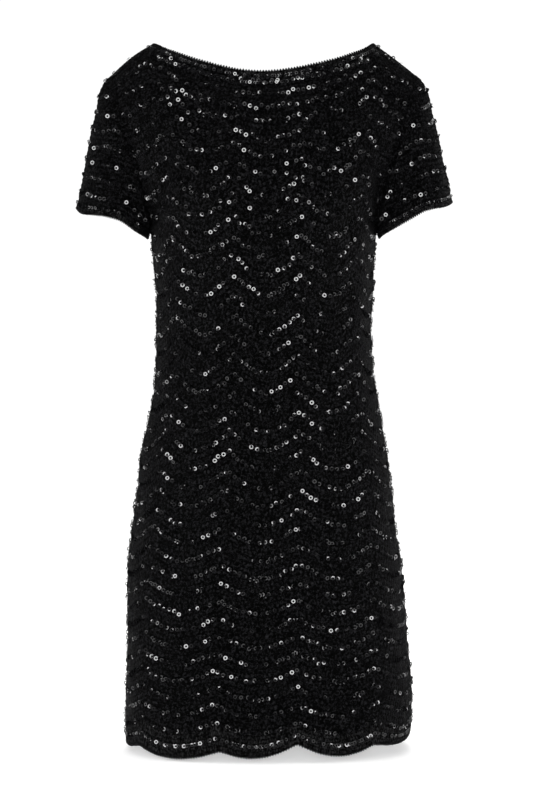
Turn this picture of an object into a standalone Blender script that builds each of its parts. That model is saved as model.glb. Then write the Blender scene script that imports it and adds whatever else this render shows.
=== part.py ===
"""Sequinned crochet shift dress, as worn and hollow: front, back, two set-in sleeves and four edgings.

Metres, +Z up. The dress faces -Y, and the origin is on the shoulder line, midway between the neck's two corners.
Left and right in the names are the wearer's, so the left sleeve is at +X.
"""

import math
from collections import defaultdict, namedtuple

import bpy
import numpy as np

# ---------------------------------------------------------------- sizes
WALL = 0.002  # crocheted cloth
SEAM = 0.00034  # gap between two pieces that are sewn together
HEM_JOINT_Z = -0.872  # where the hem edging is worked on
ARMPIT_Z = -0.236  # lowest point of the armholes
SHOULDER_POINT_X = 0.197  # top of the armholes, at the end of the shoulder seams
SHOULDER_POINT_Z = -0.040
NECK_HALF = 0.1445  # neck corners, on the shoulder line at z = 0
EDGING_REACH = 0.0070  # neck edging, from the body to its free edge
CUFF_REACH = 0.0065  # sleeve edging, the same
SHOULDER_ARCH = 0.10  # height over which the cloth turns over the shoulder
YOKE_SQUARE = 2.45  # exponent of the sections above the armpits
SCALLOPS = 10  # ripples round the dress
SCALLOP_AT_X = -0.0094  # the middle ripple's low point, at the front of the hem

# Horizontal sections of the body, from the hem up. left and right are the outline's x, front and back the depths
# at the middle, and square is the exponent of the section: 2 is an ellipse, and more is flatter in front.
Section = namedtuple("Section", "z left right front back square")
SECTIONS = [
    Section(-0.930, -0.1783, 0.1905, 0.1300, 0.1290, 2.55),
    Section(-0.880, -0.1778, 0.1902, 0.1285, 0.1275, 2.55),
    Section(-0.830, -0.1776, 0.1898, 0.1265, 0.1260, 2.55),
    Section(-0.790, -0.1765, 0.1865, 0.1245, 0.1250, 2.55),
    Section(-0.737, -0.1751, 0.1825, 0.1225, 0.1242, 2.55),
    Section(-0.695, -0.1748, 0.1795, 0.1205, 0.1238, 2.55),
    Section(-0.654, -0.1723, 0.1745, 0.1188, 0.1235, 2.55),
    Section(-0.612, -0.1673, 0.1682, 0.1168, 0.1228, 2.55),
    Section(-0.571, -0.1611, 0.1642, 0.1145, 0.1205, 2.55),
    Section(-0.529, -0.1568, 0.1578, 0.1122, 0.1160, 2.50),
    Section(-0.488, -0.1481, 0.1512, 0.1098, 0.1090, 2.50),
    Section(-0.456, -0.1427, 0.1460, 0.1082, 0.1030, 2.50),
    Section(-0.415, -0.1389, 0.1408, 0.1070, 0.0985, 2.50),
    Section(-0.373, -0.1387, 0.1383, 0.1080, 0.0970, 2.50),
    Section(-0.332, -0.1389, 0.1396, 0.1125, 0.0985, 2.50),
    Section(-0.300, -0.1403, 0.1410, 0.1175, 0.1015, 2.50),
    Section(-0.269, -0.1420, 0.1425, 0.1215, 0.1045, 2.45),
    Section(-0.236, -0.1445, 0.1445, 0.1235, 0.1065, 2.45),
    Section(-0.200, -0.1445, 0.1445, 0.1215, 0.1075, 2.45),
    Section(-0.165, -0.1445, 0.1445, 0.1150, 0.1065, 2.45),
    Section(-0.120, -0.1445, 0.1445, 0.1015, 0.0990, 2.45),
    Section(-0.080, -0.1445, 0.1445, 0.0865, 0.0860, 2.45),
    Section(-0.045, -0.1445, 0.1445, 0.0710, 0.0700, 2.45),
    Section(0.000, -0.1445, 0.1445, 0.0590, 0.0580, 2.45),
]

# The armhole seam, up from the armpit: its x, and how far forward or back of the shoulder line it runs.
Armhole = namedtuple("Armhole", "z x front back")
ARMHOLE = [
    Armhole(-0.2360, 0.1445, 0.0000, 0.0000),
    Armhole(-0.2290, 0.1455, 0.0260, 0.0250),
    Armhole(-0.2150, 0.1480, 0.0410, 0.0400),
    Armhole(-0.1900, 0.1540, 0.0500, 0.0500),
    Armhole(-0.1600, 0.1622, 0.0530, 0.0535),
    Armhole(-0.1200, 0.1740, 0.0560, 0.0560),
    Armhole(-0.0800, 0.1865, 0.0570, 0.0560),
    Armhole(-0.0400, 0.1970, 0.0570, 0.0560),
]

# The free edge of the neck, from one corner to the other as seen from the front: heights at the front and back.
Neck = namedtuple("Neck", "x front back")
NECK = [
    Neck(-0.1445, 0.0000, 0.0000),
    Neck(-0.1300, -0.0092, -0.0080),
    Neck(-0.1162, -0.0158, -0.0132),
    Neck(-0.0810, -0.0294, -0.0235),
    Neck(-0.0349, -0.0414, -0.0318),
    Neck(-0.0020, -0.0442, -0.0335),
    Neck(0.0315, -0.0414, -0.0318),
    Neck(0.0848, -0.0294, -0.0235),
    Neck(0.1214, -0.0158, -0.0132),
    Neck(0.1340, -0.0088, -0.0076),
    Neck(0.1445, 0.0000, 0.0000),
]

# What sets the two shoulders apart: how far each seam bows up between its ends, and how fully its sleeve turns over.
Shoulder = namedtuple("Shoulder", "crown fullness")
SHOULDERS = {"left": Shoulder(0.0008, 0.15), "right": Shoulder(0.0036, 0.18)}

# The free edge of each sleeve, from the underarm (along 0) to the outside of the arm (along 1). y is forward of the
# shoulder line for the front half, and behind it for the back half, whose height is the last column.
Hem = namedtuple("Hem", "along x y front back")
SLEEVE_HEM = {
    "left": [
        Hem(0.00, 0.1493, 0.0000, -0.2505, -0.2505),
        Hem(0.12, 0.1530, 0.0190, -0.2475, -0.2435),
        Hem(0.28, 0.1640, 0.0400, -0.2420, -0.2320),
        Hem(0.46, 0.1830, 0.0560, -0.2325, -0.2195),
        Hem(0.64, 0.2070, 0.0585, -0.2195, -0.2090),
        Hem(0.84, 0.2340, 0.0380, -0.2115, -0.2055),
        Hem(1.00, 0.2455, 0.0000, -0.2035, -0.2035),
    ],
    "right": [
        Hem(0.00, -0.1493, 0.0000, -0.2510, -0.2510),
        Hem(0.12, -0.1525, 0.0190, -0.2495, -0.2450),
        Hem(0.28, -0.1635, 0.0400, -0.2440, -0.2345),
        Hem(0.46, -0.1820, 0.0560, -0.2325, -0.2205),
        Hem(0.64, -0.2050, 0.0585, -0.2262, -0.2145),
        Hem(0.84, -0.2330, 0.0380, -0.2208, -0.2130),
        Hem(1.00, -0.2435, 0.0000, -0.2112, -0.2112),
    ],
}

# The hem's scallops, one row each, in order round the dress from the one at the middle of the front towards the
# wearer's left: the height of the notch before it, and how far its lowest point hangs below the notches.
Scallop = namedtuple("Scallop", "notch drop")
SCALLOP_TABLE = [
    Scallop(-0.8995, 0.0118),
    Scallop(-0.8900, 0.0132),
    Scallop(-0.8935, 0.0068),
    Scallop(-0.8818, 0.0112),
    Scallop(-0.8862, 0.0125),
    Scallop(-0.8848, 0.0130),
    Scallop(-0.8870, 0.0114),
    Scallop(-0.8855, 0.0125),
    Scallop(-0.8888, 0.0075),
    Scallop(-0.8977, 0.0108),
]

# How finely the pieces are faceted
BELOW_ARMPIT_ROWS = 14
YOKE_ROWS = [0.0, 0.035, 0.11, 0.22, 0.36, 0.51, 0.66, 0.79, 0.89, 0.96, 1.0]  # share of the way up the armhole
STRAP_COLUMNS = 5
NECK_COLUMNS = 12
SLEEVE_ROWS = [0.0, 0.16, 0.36, 0.60, 0.82, 1.0]
STATIONS_PER_SCALLOP = 6

YARN_BLACK = (0.012, 0.012, 0.013, 1.0)


# ---------------------------------------------------------------- curves through the tables
def read(table, at, column):
    """A smooth curve through one column of a table, at a value of its first column."""
    keys = [row[0] for row in table]
    values = [getattr(row, column) for row in table]
    at = min(max(at, keys[0]), keys[-1])
    i = min(max(sum(key <= at for key in keys) - 1, 0), len(keys) - 2)
    slopes = []
    for j in (i, i + 1):
        before, after = max(j - 1, 0), min(j + 1, len(keys) - 1)
        slopes.append((values[after] - values[before]) / (keys[after] - keys[before]))
    span = keys[i + 1] - keys[i]
    t = (at - keys[i]) / span
    return (
        (2 * t**3 - 3 * t**2 + 1) * values[i]
        + (t**3 - 2 * t**2 + t) * span * slopes[0]
        + (3 * t**2 - 2 * t**3) * values[i + 1]
        + (t**3 - t**2) * span * slopes[1]
    )


def ease(low, high, value):
    t = min(max((value - low) / (high - low), 0.0), 1.0)
    return t * t * (3 - 2 * t)


def unit(vector):
    return vector / max(np.linalg.norm(vector), 1e-12)


# ---------------------------------------------------------------- the form of the body
def shoulder_line(x):
    """Height of the shoulder seam, carried on above the neck opening."""
    run = abs(x) - NECK_HALF
    whole = SHOULDER_POINT_X - NECK_HALF
    if run <= 0:
        return -run * 0.6
    crown = SHOULDERS["left" if x > 0 else "right"].crown
    return run / whole * SHOULDER_POINT_Z + crown * math.sin(math.pi * min(run / whole, 1.0))


def yoke_depth(side, x, z):
    """How far the chest or the back lies from the shoulder line's plane, above the armpits."""
    edge = read(ARMHOLE, z, "x")
    valley = max(read(ARMHOLE, z, side), 0.0)
    middle = read(SECTIONS, z, side)
    square = YOKE_SQUARE
    whole = edge / (1 - (valley / middle) ** square) ** (1 / square)
    turned = middle * max(1 - (abs(x) / whole) ** square, 0.0) ** (1 / square)
    q = min(abs(x) / edge, 1.0)
    smooth = valley + (middle - valley) * (1 - q**2.2)
    blend = ease(-0.175, -0.105, z)
    over = min(max((z - shoulder_line(x) + SHOULDER_ARCH) / SHOULDER_ARCH, 0.0), 1.0)
    arch = (1 - over**2.4) ** 0.5
    return arch * (turned * (1 - blend) + smooth * blend)


def across(theta, square):
    return math.copysign(abs(math.sin(theta)) ** (2 / square), theta)


def level_point(side, theta, z):
    """A point of the body below the armpits. theta runs from -90 degrees at the right side seam to 90 at the left."""
    left, right, depth, square = (read(SECTIONS, z, c) for c in ("left", "right", side, "square"))
    x = (left + right) / 2 + (right - left) / 2 * across(theta, square)
    y = depth * max(math.cos(theta), 0.0) ** (2 / square)
    return np.array((x, -y if side == "front" else y, z))


def neck_point(side, x):
    z = read(NECK, x, side)
    y = yoke_depth(side, x, z)
    return np.array((x, -y if side == "front" else y, z))


def joint_height(side, x):
    """Height of the body's top edge: the shoulder seam, then the line where the neck edging is worked on."""
    corner = NECK_HALF + EDGING_REACH * 0.8
    if abs(x) >= corner:
        return shoulder_line(x)
    inner = x * NECK_HALF / corner
    slope = EDGING_REACH * 0.5 + EDGING_REACH * 0.5 * (1 - (abs(x) / corner) ** 2)
    return read(NECK, inner, side) - slope * ease(0, 0.012, corner - abs(x)) + shoulder_line(corner) * (
        1 - ease(0, 0.012, corner - abs(x))
    )


def yoke_point(side, theta, share):
    """A point of the body above the armpits, share of the way from the armpit's level up to the top edge."""
    c = across(theta, YOKE_SQUARE)
    edge_z = ARMPIT_Z + (SHOULDER_POINT_Z - ARMPIT_Z) * share
    x = read(ARMHOLE, edge_z, "x") * c
    z = ARMPIT_Z + (joint_height(side, SHOULDER_POINT_X * c) - ARMPIT_Z) * share
    y = yoke_depth(side, x, z)
    return np.array((x, -y if side == "front" else y, z))


def columns():
    """Angles of the body's columns, one of them at each corner of the neck joint, and closer together there."""
    corner = (NECK_HALF + EDGING_REACH * 0.8) / SHOULDER_POINT_X
    at = math.asin(corner ** (YOKE_SQUARE / 2))
    strap = [at + (math.pi / 2 - at) * i / STRAP_COLUMNS for i in range(1, STRAP_COLUMNS + 1)]
    neck = [at * math.sin(math.pi * (i / NECK_COLUMNS - 0.5)) for i in range(NECK_COLUMNS + 1)]
    return [-a for a in reversed(strap)] + neck + strap


def panel(side):
    """The grid of the front or the back, hem joint first."""
    rows = []
    for i in range(BELOW_ARMPIT_ROWS):
        z = HEM_JOINT_Z + (ARMPIT_Z - HEM_JOINT_Z) * i / BELOW_ARMPIT_ROWS
        rows.append([level_point(side, theta, z) for theta in columns()])
    for share in YOKE_ROWS:
        rows.append([yoke_point(side, theta, share) for theta in columns()])
    return np.array(rows)


# ---------------------------------------------------------------- sleeves
def armhole_ring(front, back, column):
    """Up the front of an armhole from the armpit to the shoulder, and down its back."""
    first = BELOW_ARMPIT_ROWS
    up = [front[first + j, column] for j in range(len(YOKE_ROWS))]
    down = [back[first + j, column] for j in range(len(YOKE_ROWS) - 2, 0, -1)]
    return np.array(up + down)


def leaving(front, back, column, inside):
    """The direction in which the body's cloth runs off its edge, at each point of an armhole."""
    edge = armhole_ring(front, back, column)
    return np.array([unit(v) for v in edge - armhole_ring(front, back, inside)])


def share_along(ring):
    """How far each point of the ring is from the armpit to the shoulder, by length, on its own side."""
    top = len(YOKE_ROWS) - 1
    n = len(ring)
    steps = [np.linalg.norm(ring[(i + 1) % n] - ring[i]) for i in range(n)]
    up, down = sum(steps[:top]), sum(steps[top:])
    shares = []
    for i in range(n):
        shares.append(sum(steps[:i]) / up if i <= top else sum(steps[i:]) / down)
    return shares


def sleeve(which, ring, leave):
    """The grid of a sleeve, from the armhole to the free edge: one column for each point of the armhole."""
    way = 1.0 if which == "left" else -1.0
    table = SLEEVE_HEM[which]
    top = len(YOKE_ROWS) - 1
    lines = []
    for i, (start, share) in enumerate(zip(ring, share_along(ring))):
        side = "front" if i <= top else "back"
        sign = -1.0 if side == "front" else 1.0
        end = np.array((read(table, share, "x"), sign * read(table, share, "y"), read(table, share, side)))
        crease = unit(np.array((0.55 * way, sign * 0.45 * math.sin(math.pi * share), -0.75)))
        smooth = ease(-0.165, -0.100, start[2])
        out = unit(leave[i] * smooth + crease * (1 - smooth))
        down = np.array((0.234 * way, 0.0, -0.972))
        length = np.linalg.norm(end - start)
        a, b = start + out * length * SHOULDERS[which].fullness, end - down * length * 0.44
        lines.append([(1 - s) ** 3 * start + 3 * s * (1 - s) ** 2 * a + 3 * s * s * (1 - s) * b + s**3 * end for s in sleeve_rows(length)])
    return np.array(lines)


def sleeve_rows(length):
    """Rows of the sleeve, as shares of a line's length: the last but one is where its edging is worked on."""
    joint = 1 - min(CUFF_REACH / length, 0.45)
    return [s * joint for s in SLEEVE_ROWS] + [1.0]


# ---------------------------------------------------------------- edgings
def neck_edging(front, back):
    """Two rings: the body's top edge between the neck corners, and the neck's free edge."""
    first = STRAP_COLUMNS
    last = first + NECK_COLUMNS
    joint = [front[-1, j] for j in range(first, last + 1)] + [back[-1, j] for j in range(last - 1, first, -1)]
    corner = NECK_HALF + EDGING_REACH * 0.8
    free = []
    for i, point in enumerate(joint):
        side = "front" if i <= NECK_COLUMNS else "back"
        free.append(neck_point(side, point[0] * NECK_HALF / corner))
    return np.array([joint, free]).transpose(1, 0, 2)


def round_the_hem(z, share):
    """A point round the body at one height, share of its length on from the low point of the middle ripple."""
    fine = 720
    angles = [(-0.5 + 2 * i / fine) * math.pi for i in range(fine)]
    ring = []
    for angle in angles:
        if angle <= math.pi / 2:
            ring.append(level_point("front", angle, z))
        else:
            ring.append(level_point("back", math.pi - angle, z))
    ring = np.array(ring + ring[:1])
    steps = np.concatenate([[0.0], np.cumsum(np.linalg.norm(np.diff(ring, axis=0), axis=1))])
    start = np.interp(SCALLOP_AT_X, ring[: fine // 2, 0], steps[: fine // 2])
    at = (start + share * steps[-1]) % steps[-1]
    return np.array([np.interp(at, steps, ring[:, k]) for k in range(3)])


def hem_edge(share):
    """Height of the scalloped edge, share of the way round."""
    place = (share * SCALLOPS + 0.5) % SCALLOPS
    i = int(place)
    here, after = SCALLOP_TABLE[i], SCALLOP_TABLE[(i + 1) % SCALLOPS]
    t = place - i
    return here.notch * (1 - t) + after.notch * t - here.drop * math.sin(math.pi * t) ** 0.75


def hem_edging():
    """Columns round the hem from the joint down to the scallops."""
    lines = []
    for i in range(SCALLOPS * STATIONS_PER_SCALLOP):
        share = i / (SCALLOPS * STATIONS_PER_SCALLOP)
        edge = hem_edge(share)
        heights = [HEM_JOINT_Z, (HEM_JOINT_Z + edge) / 2, edge]
        lines.append([round_the_hem(z, share) for z in heights])
    return np.array(lines)


# ---------------------------------------------------------------- cloth walls
def key(point):
    return tuple(np.round(point, 6))


def cloth_normals(grids):
    """The outward direction at each point of the whole skin, so that two pieces sewn together agree at their seam."""
    total = defaultdict(lambda: np.zeros(3))
    for grid, closed in grids:
        n, m = grid.shape[:2]
        for i in range(n if closed else n - 1):
            for j in range(m - 1):
                a, b, c, d = grid[i, j], grid[(i + 1) % n, j], grid[(i + 1) % n, j + 1], grid[i, j + 1]
                face = unit(np.cross(c - a, d - b))
                for before, here, after in ((d, a, b), (a, b, c), (b, c, d), (c, d, a)):
                    one, two = unit(before - here), unit(after - here)
                    total[key(here)] += face * math.acos(min(max(one @ two, -1.0), 1.0))
    return {point: unit(v) for point, v in total.items()}


def level_normals(grid, normals, rows):
    """Makes the wall stand square to the flat joint at these rows, so that its end is flat too."""
    for row in rows:
        for point in grid[row]:
            flat = normals[key(point)] * np.array((1.0, 1.0, 0.0))
            normals[key(point)] = unit(flat)


def drawn_back(points, inner, closed):
    """Moves a piece's sewn edges in by half a seam. points and inner are grids; closed says that the first axis is."""
    out_points, out_inner = points.copy(), inner.copy()
    n, m = points.shape[:2]

    def draw(i, j, tangent, inward):
        across_wall = unit(inner[i, j] - points[i, j])
        way = inward - tangent * (inward @ tangent)
        way = unit(way - across_wall * (way @ across_wall))
        out_points[i, j] += way * SEAM / 2
        out_inner[i, j] += way * SEAM / 2

    for i in range(n):
        before, after = ((i - 1) % n, (i + 1) % n) if closed else (max(i - 1, 0), min(i + 1, n - 1))
        for j, inside in ((0, 1), (m - 1, m - 2)):
            draw(i, j, unit(points[after, j] - points[before, j]), points[i, inside] - points[i, j])
    if not closed:
        for j in range(m):
            before, after = max(j - 1, 0), min(j + 1, m - 1)
            for i, inside in ((0, 1), (n - 1, n - 2)):
                draw(i, j, unit(points[i, after] - points[i, before]), points[inside, j] - points[i, j])
    return out_points, out_inner


def wall(name, grid, normals, closed, collection):
    """A closed solid: the grid, the same grid a wall's thickness further in, and strips round the edges."""
    n, m = grid.shape[:2]
    inward = np.array([[-normals[key(p)] for p in row] for row in grid])
    outer, inner = drawn_back(grid, grid + inward * WALL, closed)
    vertices = [tuple(p) for p in outer.reshape(-1, 3)] + [tuple(p) for p in inner.reshape(-1, 3)]
    half = n * m

    def at(i, j, layer):
        return (i % n) * m + j + layer * half

    faces = []
    for i in range(n if closed else n - 1):
        for j in range(m - 1):
            faces.append((at(i, j, 0), at(i + 1, j, 0), at(i + 1, j + 1, 0), at(i, j + 1, 0)))
            faces.append((at(i, j, 1), at(i, j + 1, 1), at(i + 1, j + 1, 1), at(i + 1, j, 1)))
        faces.append((at(i, 0, 0), at(i, 0, 1), at(i + 1, 0, 1), at(i + 1, 0, 0)))
        faces.append((at(i, m - 1, 0), at(i + 1, m - 1, 0), at(i + 1, m - 1, 1), at(i, m - 1, 1)))
    if not closed:
        for j in range(m - 1):
            faces.append((at(0, j, 0), at(0, j + 1, 0), at(0, j + 1, 1), at(0, j, 1)))
            faces.append((at(n - 1, j, 0), at(n - 1, j, 1), at(n - 1, j + 1, 1), at(n - 1, j + 1, 0)))
    mesh = bpy.data.meshes.new(name)
    mesh.from_pydata(vertices, [], faces)
    mesh.validate()
    mesh.shade_smooth()
    mesh.set_sharp_from_angle(angle=math.radians(50))
    obj = bpy.data.objects.new(name, mesh)
    collection.objects.link(obj)
    mesh.materials.append(yarn(name))
    return obj


def yarn(name):
    material = bpy.data.materials.new(name + "_yarn")
    material.use_nodes = True
    shader = material.node_tree.nodes["Principled BSDF"]
    shader.inputs["Base Color"].default_value = YARN_BLACK
    shader.inputs["Roughness"].default_value = 0.6
    shader.inputs["Metallic"].default_value = 0.0
    return material


def facing_out(grid, closed, centre):
    """The grid with its first axis turned round if its faces point at centre."""
    n, m = grid.shape[:2]
    total = 0.0
    for i in range(n if closed else n - 1):
        for j in range(m - 1):
            a, b, c, d = grid[i, j], grid[(i + 1) % n, j], grid[(i + 1) % n, j + 1], grid[i, j + 1]
            total += np.cross(c - a, d - b) @ ((a + c) / 2 - centre)
    return grid if total > 0 else grid[::-1]


def main():
    for obj in list(bpy.data.objects):
        bpy.data.objects.remove(obj, do_unlink=True)
    collection = bpy.data.collections.new("sequin_crochet_dress")
    bpy.context.scene.collection.children.link(collection)

    front, back = panel("front"), panel("back")
    last = front.shape[1] - 1
    pieces = {}
    body_centre = np.array((0.0, 0.0, -0.45))
    # The body's grids run row by row; the walls take columns first.
    pieces["front"] = (facing_out(front.transpose(1, 0, 2), False, body_centre), False)
    pieces["back"] = (facing_out(back.transpose(1, 0, 2), False, body_centre), False)
    for which, column, inside in (("left", last, last - 1), ("right", 0, 1)):
        ring = armhole_ring(front, back, column)
        grid = sleeve(which, ring, leaving(front, back, column, inside))
        grid = facing_out(grid, True, grid.reshape(-1, 3).mean(axis=0))
        pieces["sleeve_" + which] = (grid[:, :-1], True)
        pieces["cuff_" + which] = (grid[:, -2:], True)
    neck = neck_edging(front, back)
    pieces["neck_edging"] = (facing_out(neck, True, np.array((0.0, 0.0, -0.2))), True)
    pieces["hem_edging"] = (facing_out(hem_edging(), True, np.array((0.0, 0.0, -0.9))), True)

    normals = cloth_normals([(grid, closed) for grid, closed in pieces.values()])
    level_normals(front, normals, [0])
    level_normals(back, normals, [0])
    hem = pieces["hem_edging"][0]
    level_normals(hem.transpose(1, 0, 2), normals, [0])
    for name, (grid, closed) in pieces.items():
        wall(name, grid, normals, closed, collection)


main()
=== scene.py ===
"""The looks of the sequinned crochet shift dress, around its CAD frame: cloth, edgings, ring sequins, light and camera.

Metres, +Z up, the dress faces -Y. Left and right in the names are the wearer's. The form repeats part.py's sizes.
"""

import math
from collections import namedtuple

import bpy
import numpy as np
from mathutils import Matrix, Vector


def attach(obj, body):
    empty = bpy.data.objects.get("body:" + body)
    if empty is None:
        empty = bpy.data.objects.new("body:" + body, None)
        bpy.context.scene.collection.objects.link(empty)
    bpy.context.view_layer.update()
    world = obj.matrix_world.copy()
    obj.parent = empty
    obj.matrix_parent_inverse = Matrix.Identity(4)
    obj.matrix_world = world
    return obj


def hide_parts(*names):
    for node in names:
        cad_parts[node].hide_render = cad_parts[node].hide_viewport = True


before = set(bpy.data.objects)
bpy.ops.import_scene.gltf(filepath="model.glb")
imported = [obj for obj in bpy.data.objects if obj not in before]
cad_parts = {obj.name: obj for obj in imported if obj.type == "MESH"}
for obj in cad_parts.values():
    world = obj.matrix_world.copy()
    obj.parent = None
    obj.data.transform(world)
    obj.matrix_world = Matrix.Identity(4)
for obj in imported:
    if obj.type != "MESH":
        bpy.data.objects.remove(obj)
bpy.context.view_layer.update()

# ---------------------------------------------------------------- sizes shared with the CAD
WALL = 0.002
HEM_JOINT_Z = -0.872
ARMPIT_Z = -0.236
SHOULDER_POINT_X = 0.197
SHOULDER_POINT_Z = -0.040
NECK_HALF = 0.1445
EDGING_REACH = 0.0070
CUFF_REACH = 0.0065
SHOULDER_ARCH = 0.10
YOKE_SQUARE = 2.45
SCALLOPS = 10
SCALLOP_AT_X = -0.0094

Section = namedtuple("Section", "z left right front back square")
SECTIONS = [
    Section(-0.930, -0.1783, 0.1905, 0.1300, 0.1290, 2.55),
    Section(-0.880, -0.1778, 0.1902, 0.1285, 0.1275, 2.55),
    Section(-0.830, -0.1776, 0.1898, 0.1265, 0.1260, 2.55),
    Section(-0.790, -0.1765, 0.1865, 0.1245, 0.1250, 2.55),
    Section(-0.737, -0.1751, 0.1825, 0.1225, 0.1242, 2.55),
    Section(-0.695, -0.1748, 0.1795, 0.1205, 0.1238, 2.55),
    Section(-0.654, -0.1723, 0.1745, 0.1188, 0.1235, 2.55),
    Section(-0.612, -0.1673, 0.1682, 0.1168, 0.1228, 2.55),
    Section(-0.571, -0.1611, 0.1642, 0.1145, 0.1205, 2.55),
    Section(-0.529, -0.1568, 0.1578, 0.1122, 0.1160, 2.50),
    Section(-0.488, -0.1481, 0.1512, 0.1098, 0.1090, 2.50),
    Section(-0.456, -0.1427, 0.1460, 0.1082, 0.1030, 2.50),
    Section(-0.415, -0.1389, 0.1408, 0.1070, 0.0985, 2.50),
    Section(-0.373, -0.1387, 0.1383, 0.1080, 0.0970, 2.50),
    Section(-0.332, -0.1389, 0.1396, 0.1125, 0.0985, 2.50),
    Section(-0.300, -0.1403, 0.1410, 0.1175, 0.1015, 2.50),
    Section(-0.269, -0.1420, 0.1425, 0.1215, 0.1045, 2.45),
    Section(-0.236, -0.1445, 0.1445, 0.1235, 0.1065, 2.45),
    Section(-0.200, -0.1445, 0.1445, 0.1215, 0.1075, 2.45),
    Section(-0.165, -0.1445, 0.1445, 0.1150, 0.1065, 2.45),
    Section(-0.120, -0.1445, 0.1445, 0.1015, 0.0990, 2.45),
    Section(-0.080, -0.1445, 0.1445, 0.0865, 0.0860, 2.45),
    Section(-0.045, -0.1445, 0.1445, 0.0710, 0.0700, 2.45),
    Section(0.000, -0.1445, 0.1445, 0.0590, 0.0580, 2.45),
]
Armhole = namedtuple("Armhole", "z x front back")
ARMHOLE = [
    Armhole(-0.2360, 0.1445, 0.0000, 0.0000),
    Armhole(-0.2290, 0.1455, 0.0260, 0.0250),
    Armhole(-0.2150, 0.1480, 0.0410, 0.0400),
    Armhole(-0.1900, 0.1540, 0.0500, 0.0500),
    Armhole(-0.1600, 0.1622, 0.0530, 0.0535),
    Armhole(-0.1200, 0.1740, 0.0560, 0.0560),
    Armhole(-0.0800, 0.1865, 0.0570, 0.0560),
    Armhole(-0.0400, 0.1970, 0.0570, 0.0560),
]
Neck = namedtuple("Neck", "x front back")
NECK = [
    Neck(-0.1445, 0.0000, 0.0000),
    Neck(-0.1300, -0.0092, -0.0080),
    Neck(-0.1162, -0.0158, -0.0132),
    Neck(-0.0810, -0.0294, -0.0235),
    Neck(-0.0349, -0.0414, -0.0318),
    Neck(-0.0020, -0.0442, -0.0335),
    Neck(0.0315, -0.0414, -0.0318),
    Neck(0.0848, -0.0294, -0.0235),
    Neck(0.1214, -0.0158, -0.0132),
    Neck(0.1340, -0.0088, -0.0076),
    Neck(0.1445, 0.0000, 0.0000),
]
Shoulder = namedtuple("Shoulder", "crown fullness")
SHOULDERS = {"left": Shoulder(0.0008, 0.15), "right": Shoulder(0.0036, 0.18)}
Hem = namedtuple("Hem", "along x y front back")
SLEEVE_HEM = {
    "left": [
        Hem(0.00, 0.1493, 0.0000, -0.2505, -0.2505),
        Hem(0.12, 0.1530, 0.0190, -0.2475, -0.2435),
        Hem(0.28, 0.1640, 0.0400, -0.2420, -0.2320),
        Hem(0.46, 0.1830, 0.0560, -0.2325, -0.2195),
        Hem(0.64, 0.2070, 0.0585, -0.2195, -0.2090),
        Hem(0.84, 0.2340, 0.0380, -0.2115, -0.2055),
        Hem(1.00, 0.2455, 0.0000, -0.2035, -0.2035),
    ],
    "right": [
        Hem(0.00, -0.1493, 0.0000, -0.2510, -0.2510),
        Hem(0.12, -0.1525, 0.0190, -0.2495, -0.2450),
        Hem(0.28, -0.1635, 0.0400, -0.2440, -0.2345),
        Hem(0.46, -0.1820, 0.0560, -0.2325, -0.2205),
        Hem(0.64, -0.2050, 0.0585, -0.2262, -0.2145),
        Hem(0.84, -0.2330, 0.0380, -0.2208, -0.2130),
        Hem(1.00, -0.2435, 0.0000, -0.2112, -0.2112),
    ],
}
Scallop = namedtuple("Scallop", "notch drop")
SCALLOP_TABLE = [
    Scallop(-0.8995, 0.0118),
    Scallop(-0.8900, 0.0132),
    Scallop(-0.8935, 0.0068),
    Scallop(-0.8818, 0.0112),
    Scallop(-0.8862, 0.0125),
    Scallop(-0.8848, 0.0130),
    Scallop(-0.8870, 0.0114),
    Scallop(-0.8855, 0.0125),
    Scallop(-0.8888, 0.0075),
    Scallop(-0.8977, 0.0108),
]
# The CAD's own stations, which set the direction in which each sleeve leaves its armhole.
YOKE_ROWS = [0.0, 0.035, 0.11, 0.22, 0.36, 0.51, 0.66, 0.79, 0.89, 0.96, 1.0]
STRAP_COLUMNS = 5

# ---------------------------------------------------------------- sizes of the crochet
SHELL = 0.0016  # thickness of the modelled cloth
POSTS = 96  # crochet posts across the front, and across the back
ROW_STEPS = 9  # mesh rows for each row of sequins: three ridges of crochet
FIRST_ROW_Z = -0.8906  # the bright row along the scallops, row 0
PANEL_FROM = 8 / 9  # row at which the hem edging is worked on

# Distance between two rows of sequins at each height.
Pitch = namedtuple("Pitch", "z pitch")
PITCHES = [
    Pitch(-0.950, 0.0212),
    Pitch(-0.760, 0.0214),
    Pitch(-0.640, 0.0226),
    Pitch(-0.500, 0.0242),
    Pitch(-0.160, 0.0242),
    Pitch(-0.110, 0.0205),
    Pitch(-0.040, 0.0165),
]
# The ripple: how far a row swings between its peaks and troughs, the power that rounds it, and the x of the middle
# trough. A fixed 0.53 of the swing lies above the row's own height.
Ripple = namedtuple("Ripple", "z swing power middle")
RIPPLES = [
    Ripple(-0.930, 0.0140, 0.85, -0.0094),
    Ripple(-0.872, 0.0145, 0.90, -0.0094),
    Ripple(-0.760, 0.0155, 1.00, -0.0080),
    Ripple(-0.650, 0.0185, 1.10, -0.0040),
    Ripple(-0.540, 0.0225, 1.10, 0.0010),
    Ripple(-0.430, 0.0245, 1.10, 0.0033),
    Ripple(-0.236, 0.0245, 1.10, 0.0033),
    Ripple(-0.180, 0.0195, 1.15, 0.0033),
    Ripple(-0.130, 0.0090, 1.20, 0.0060),
    Ripple(-0.085, 0.0022, 1.20, 0.0100),
    Ripple(-0.040, 0.0000, 1.20, 0.0120),
]

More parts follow.
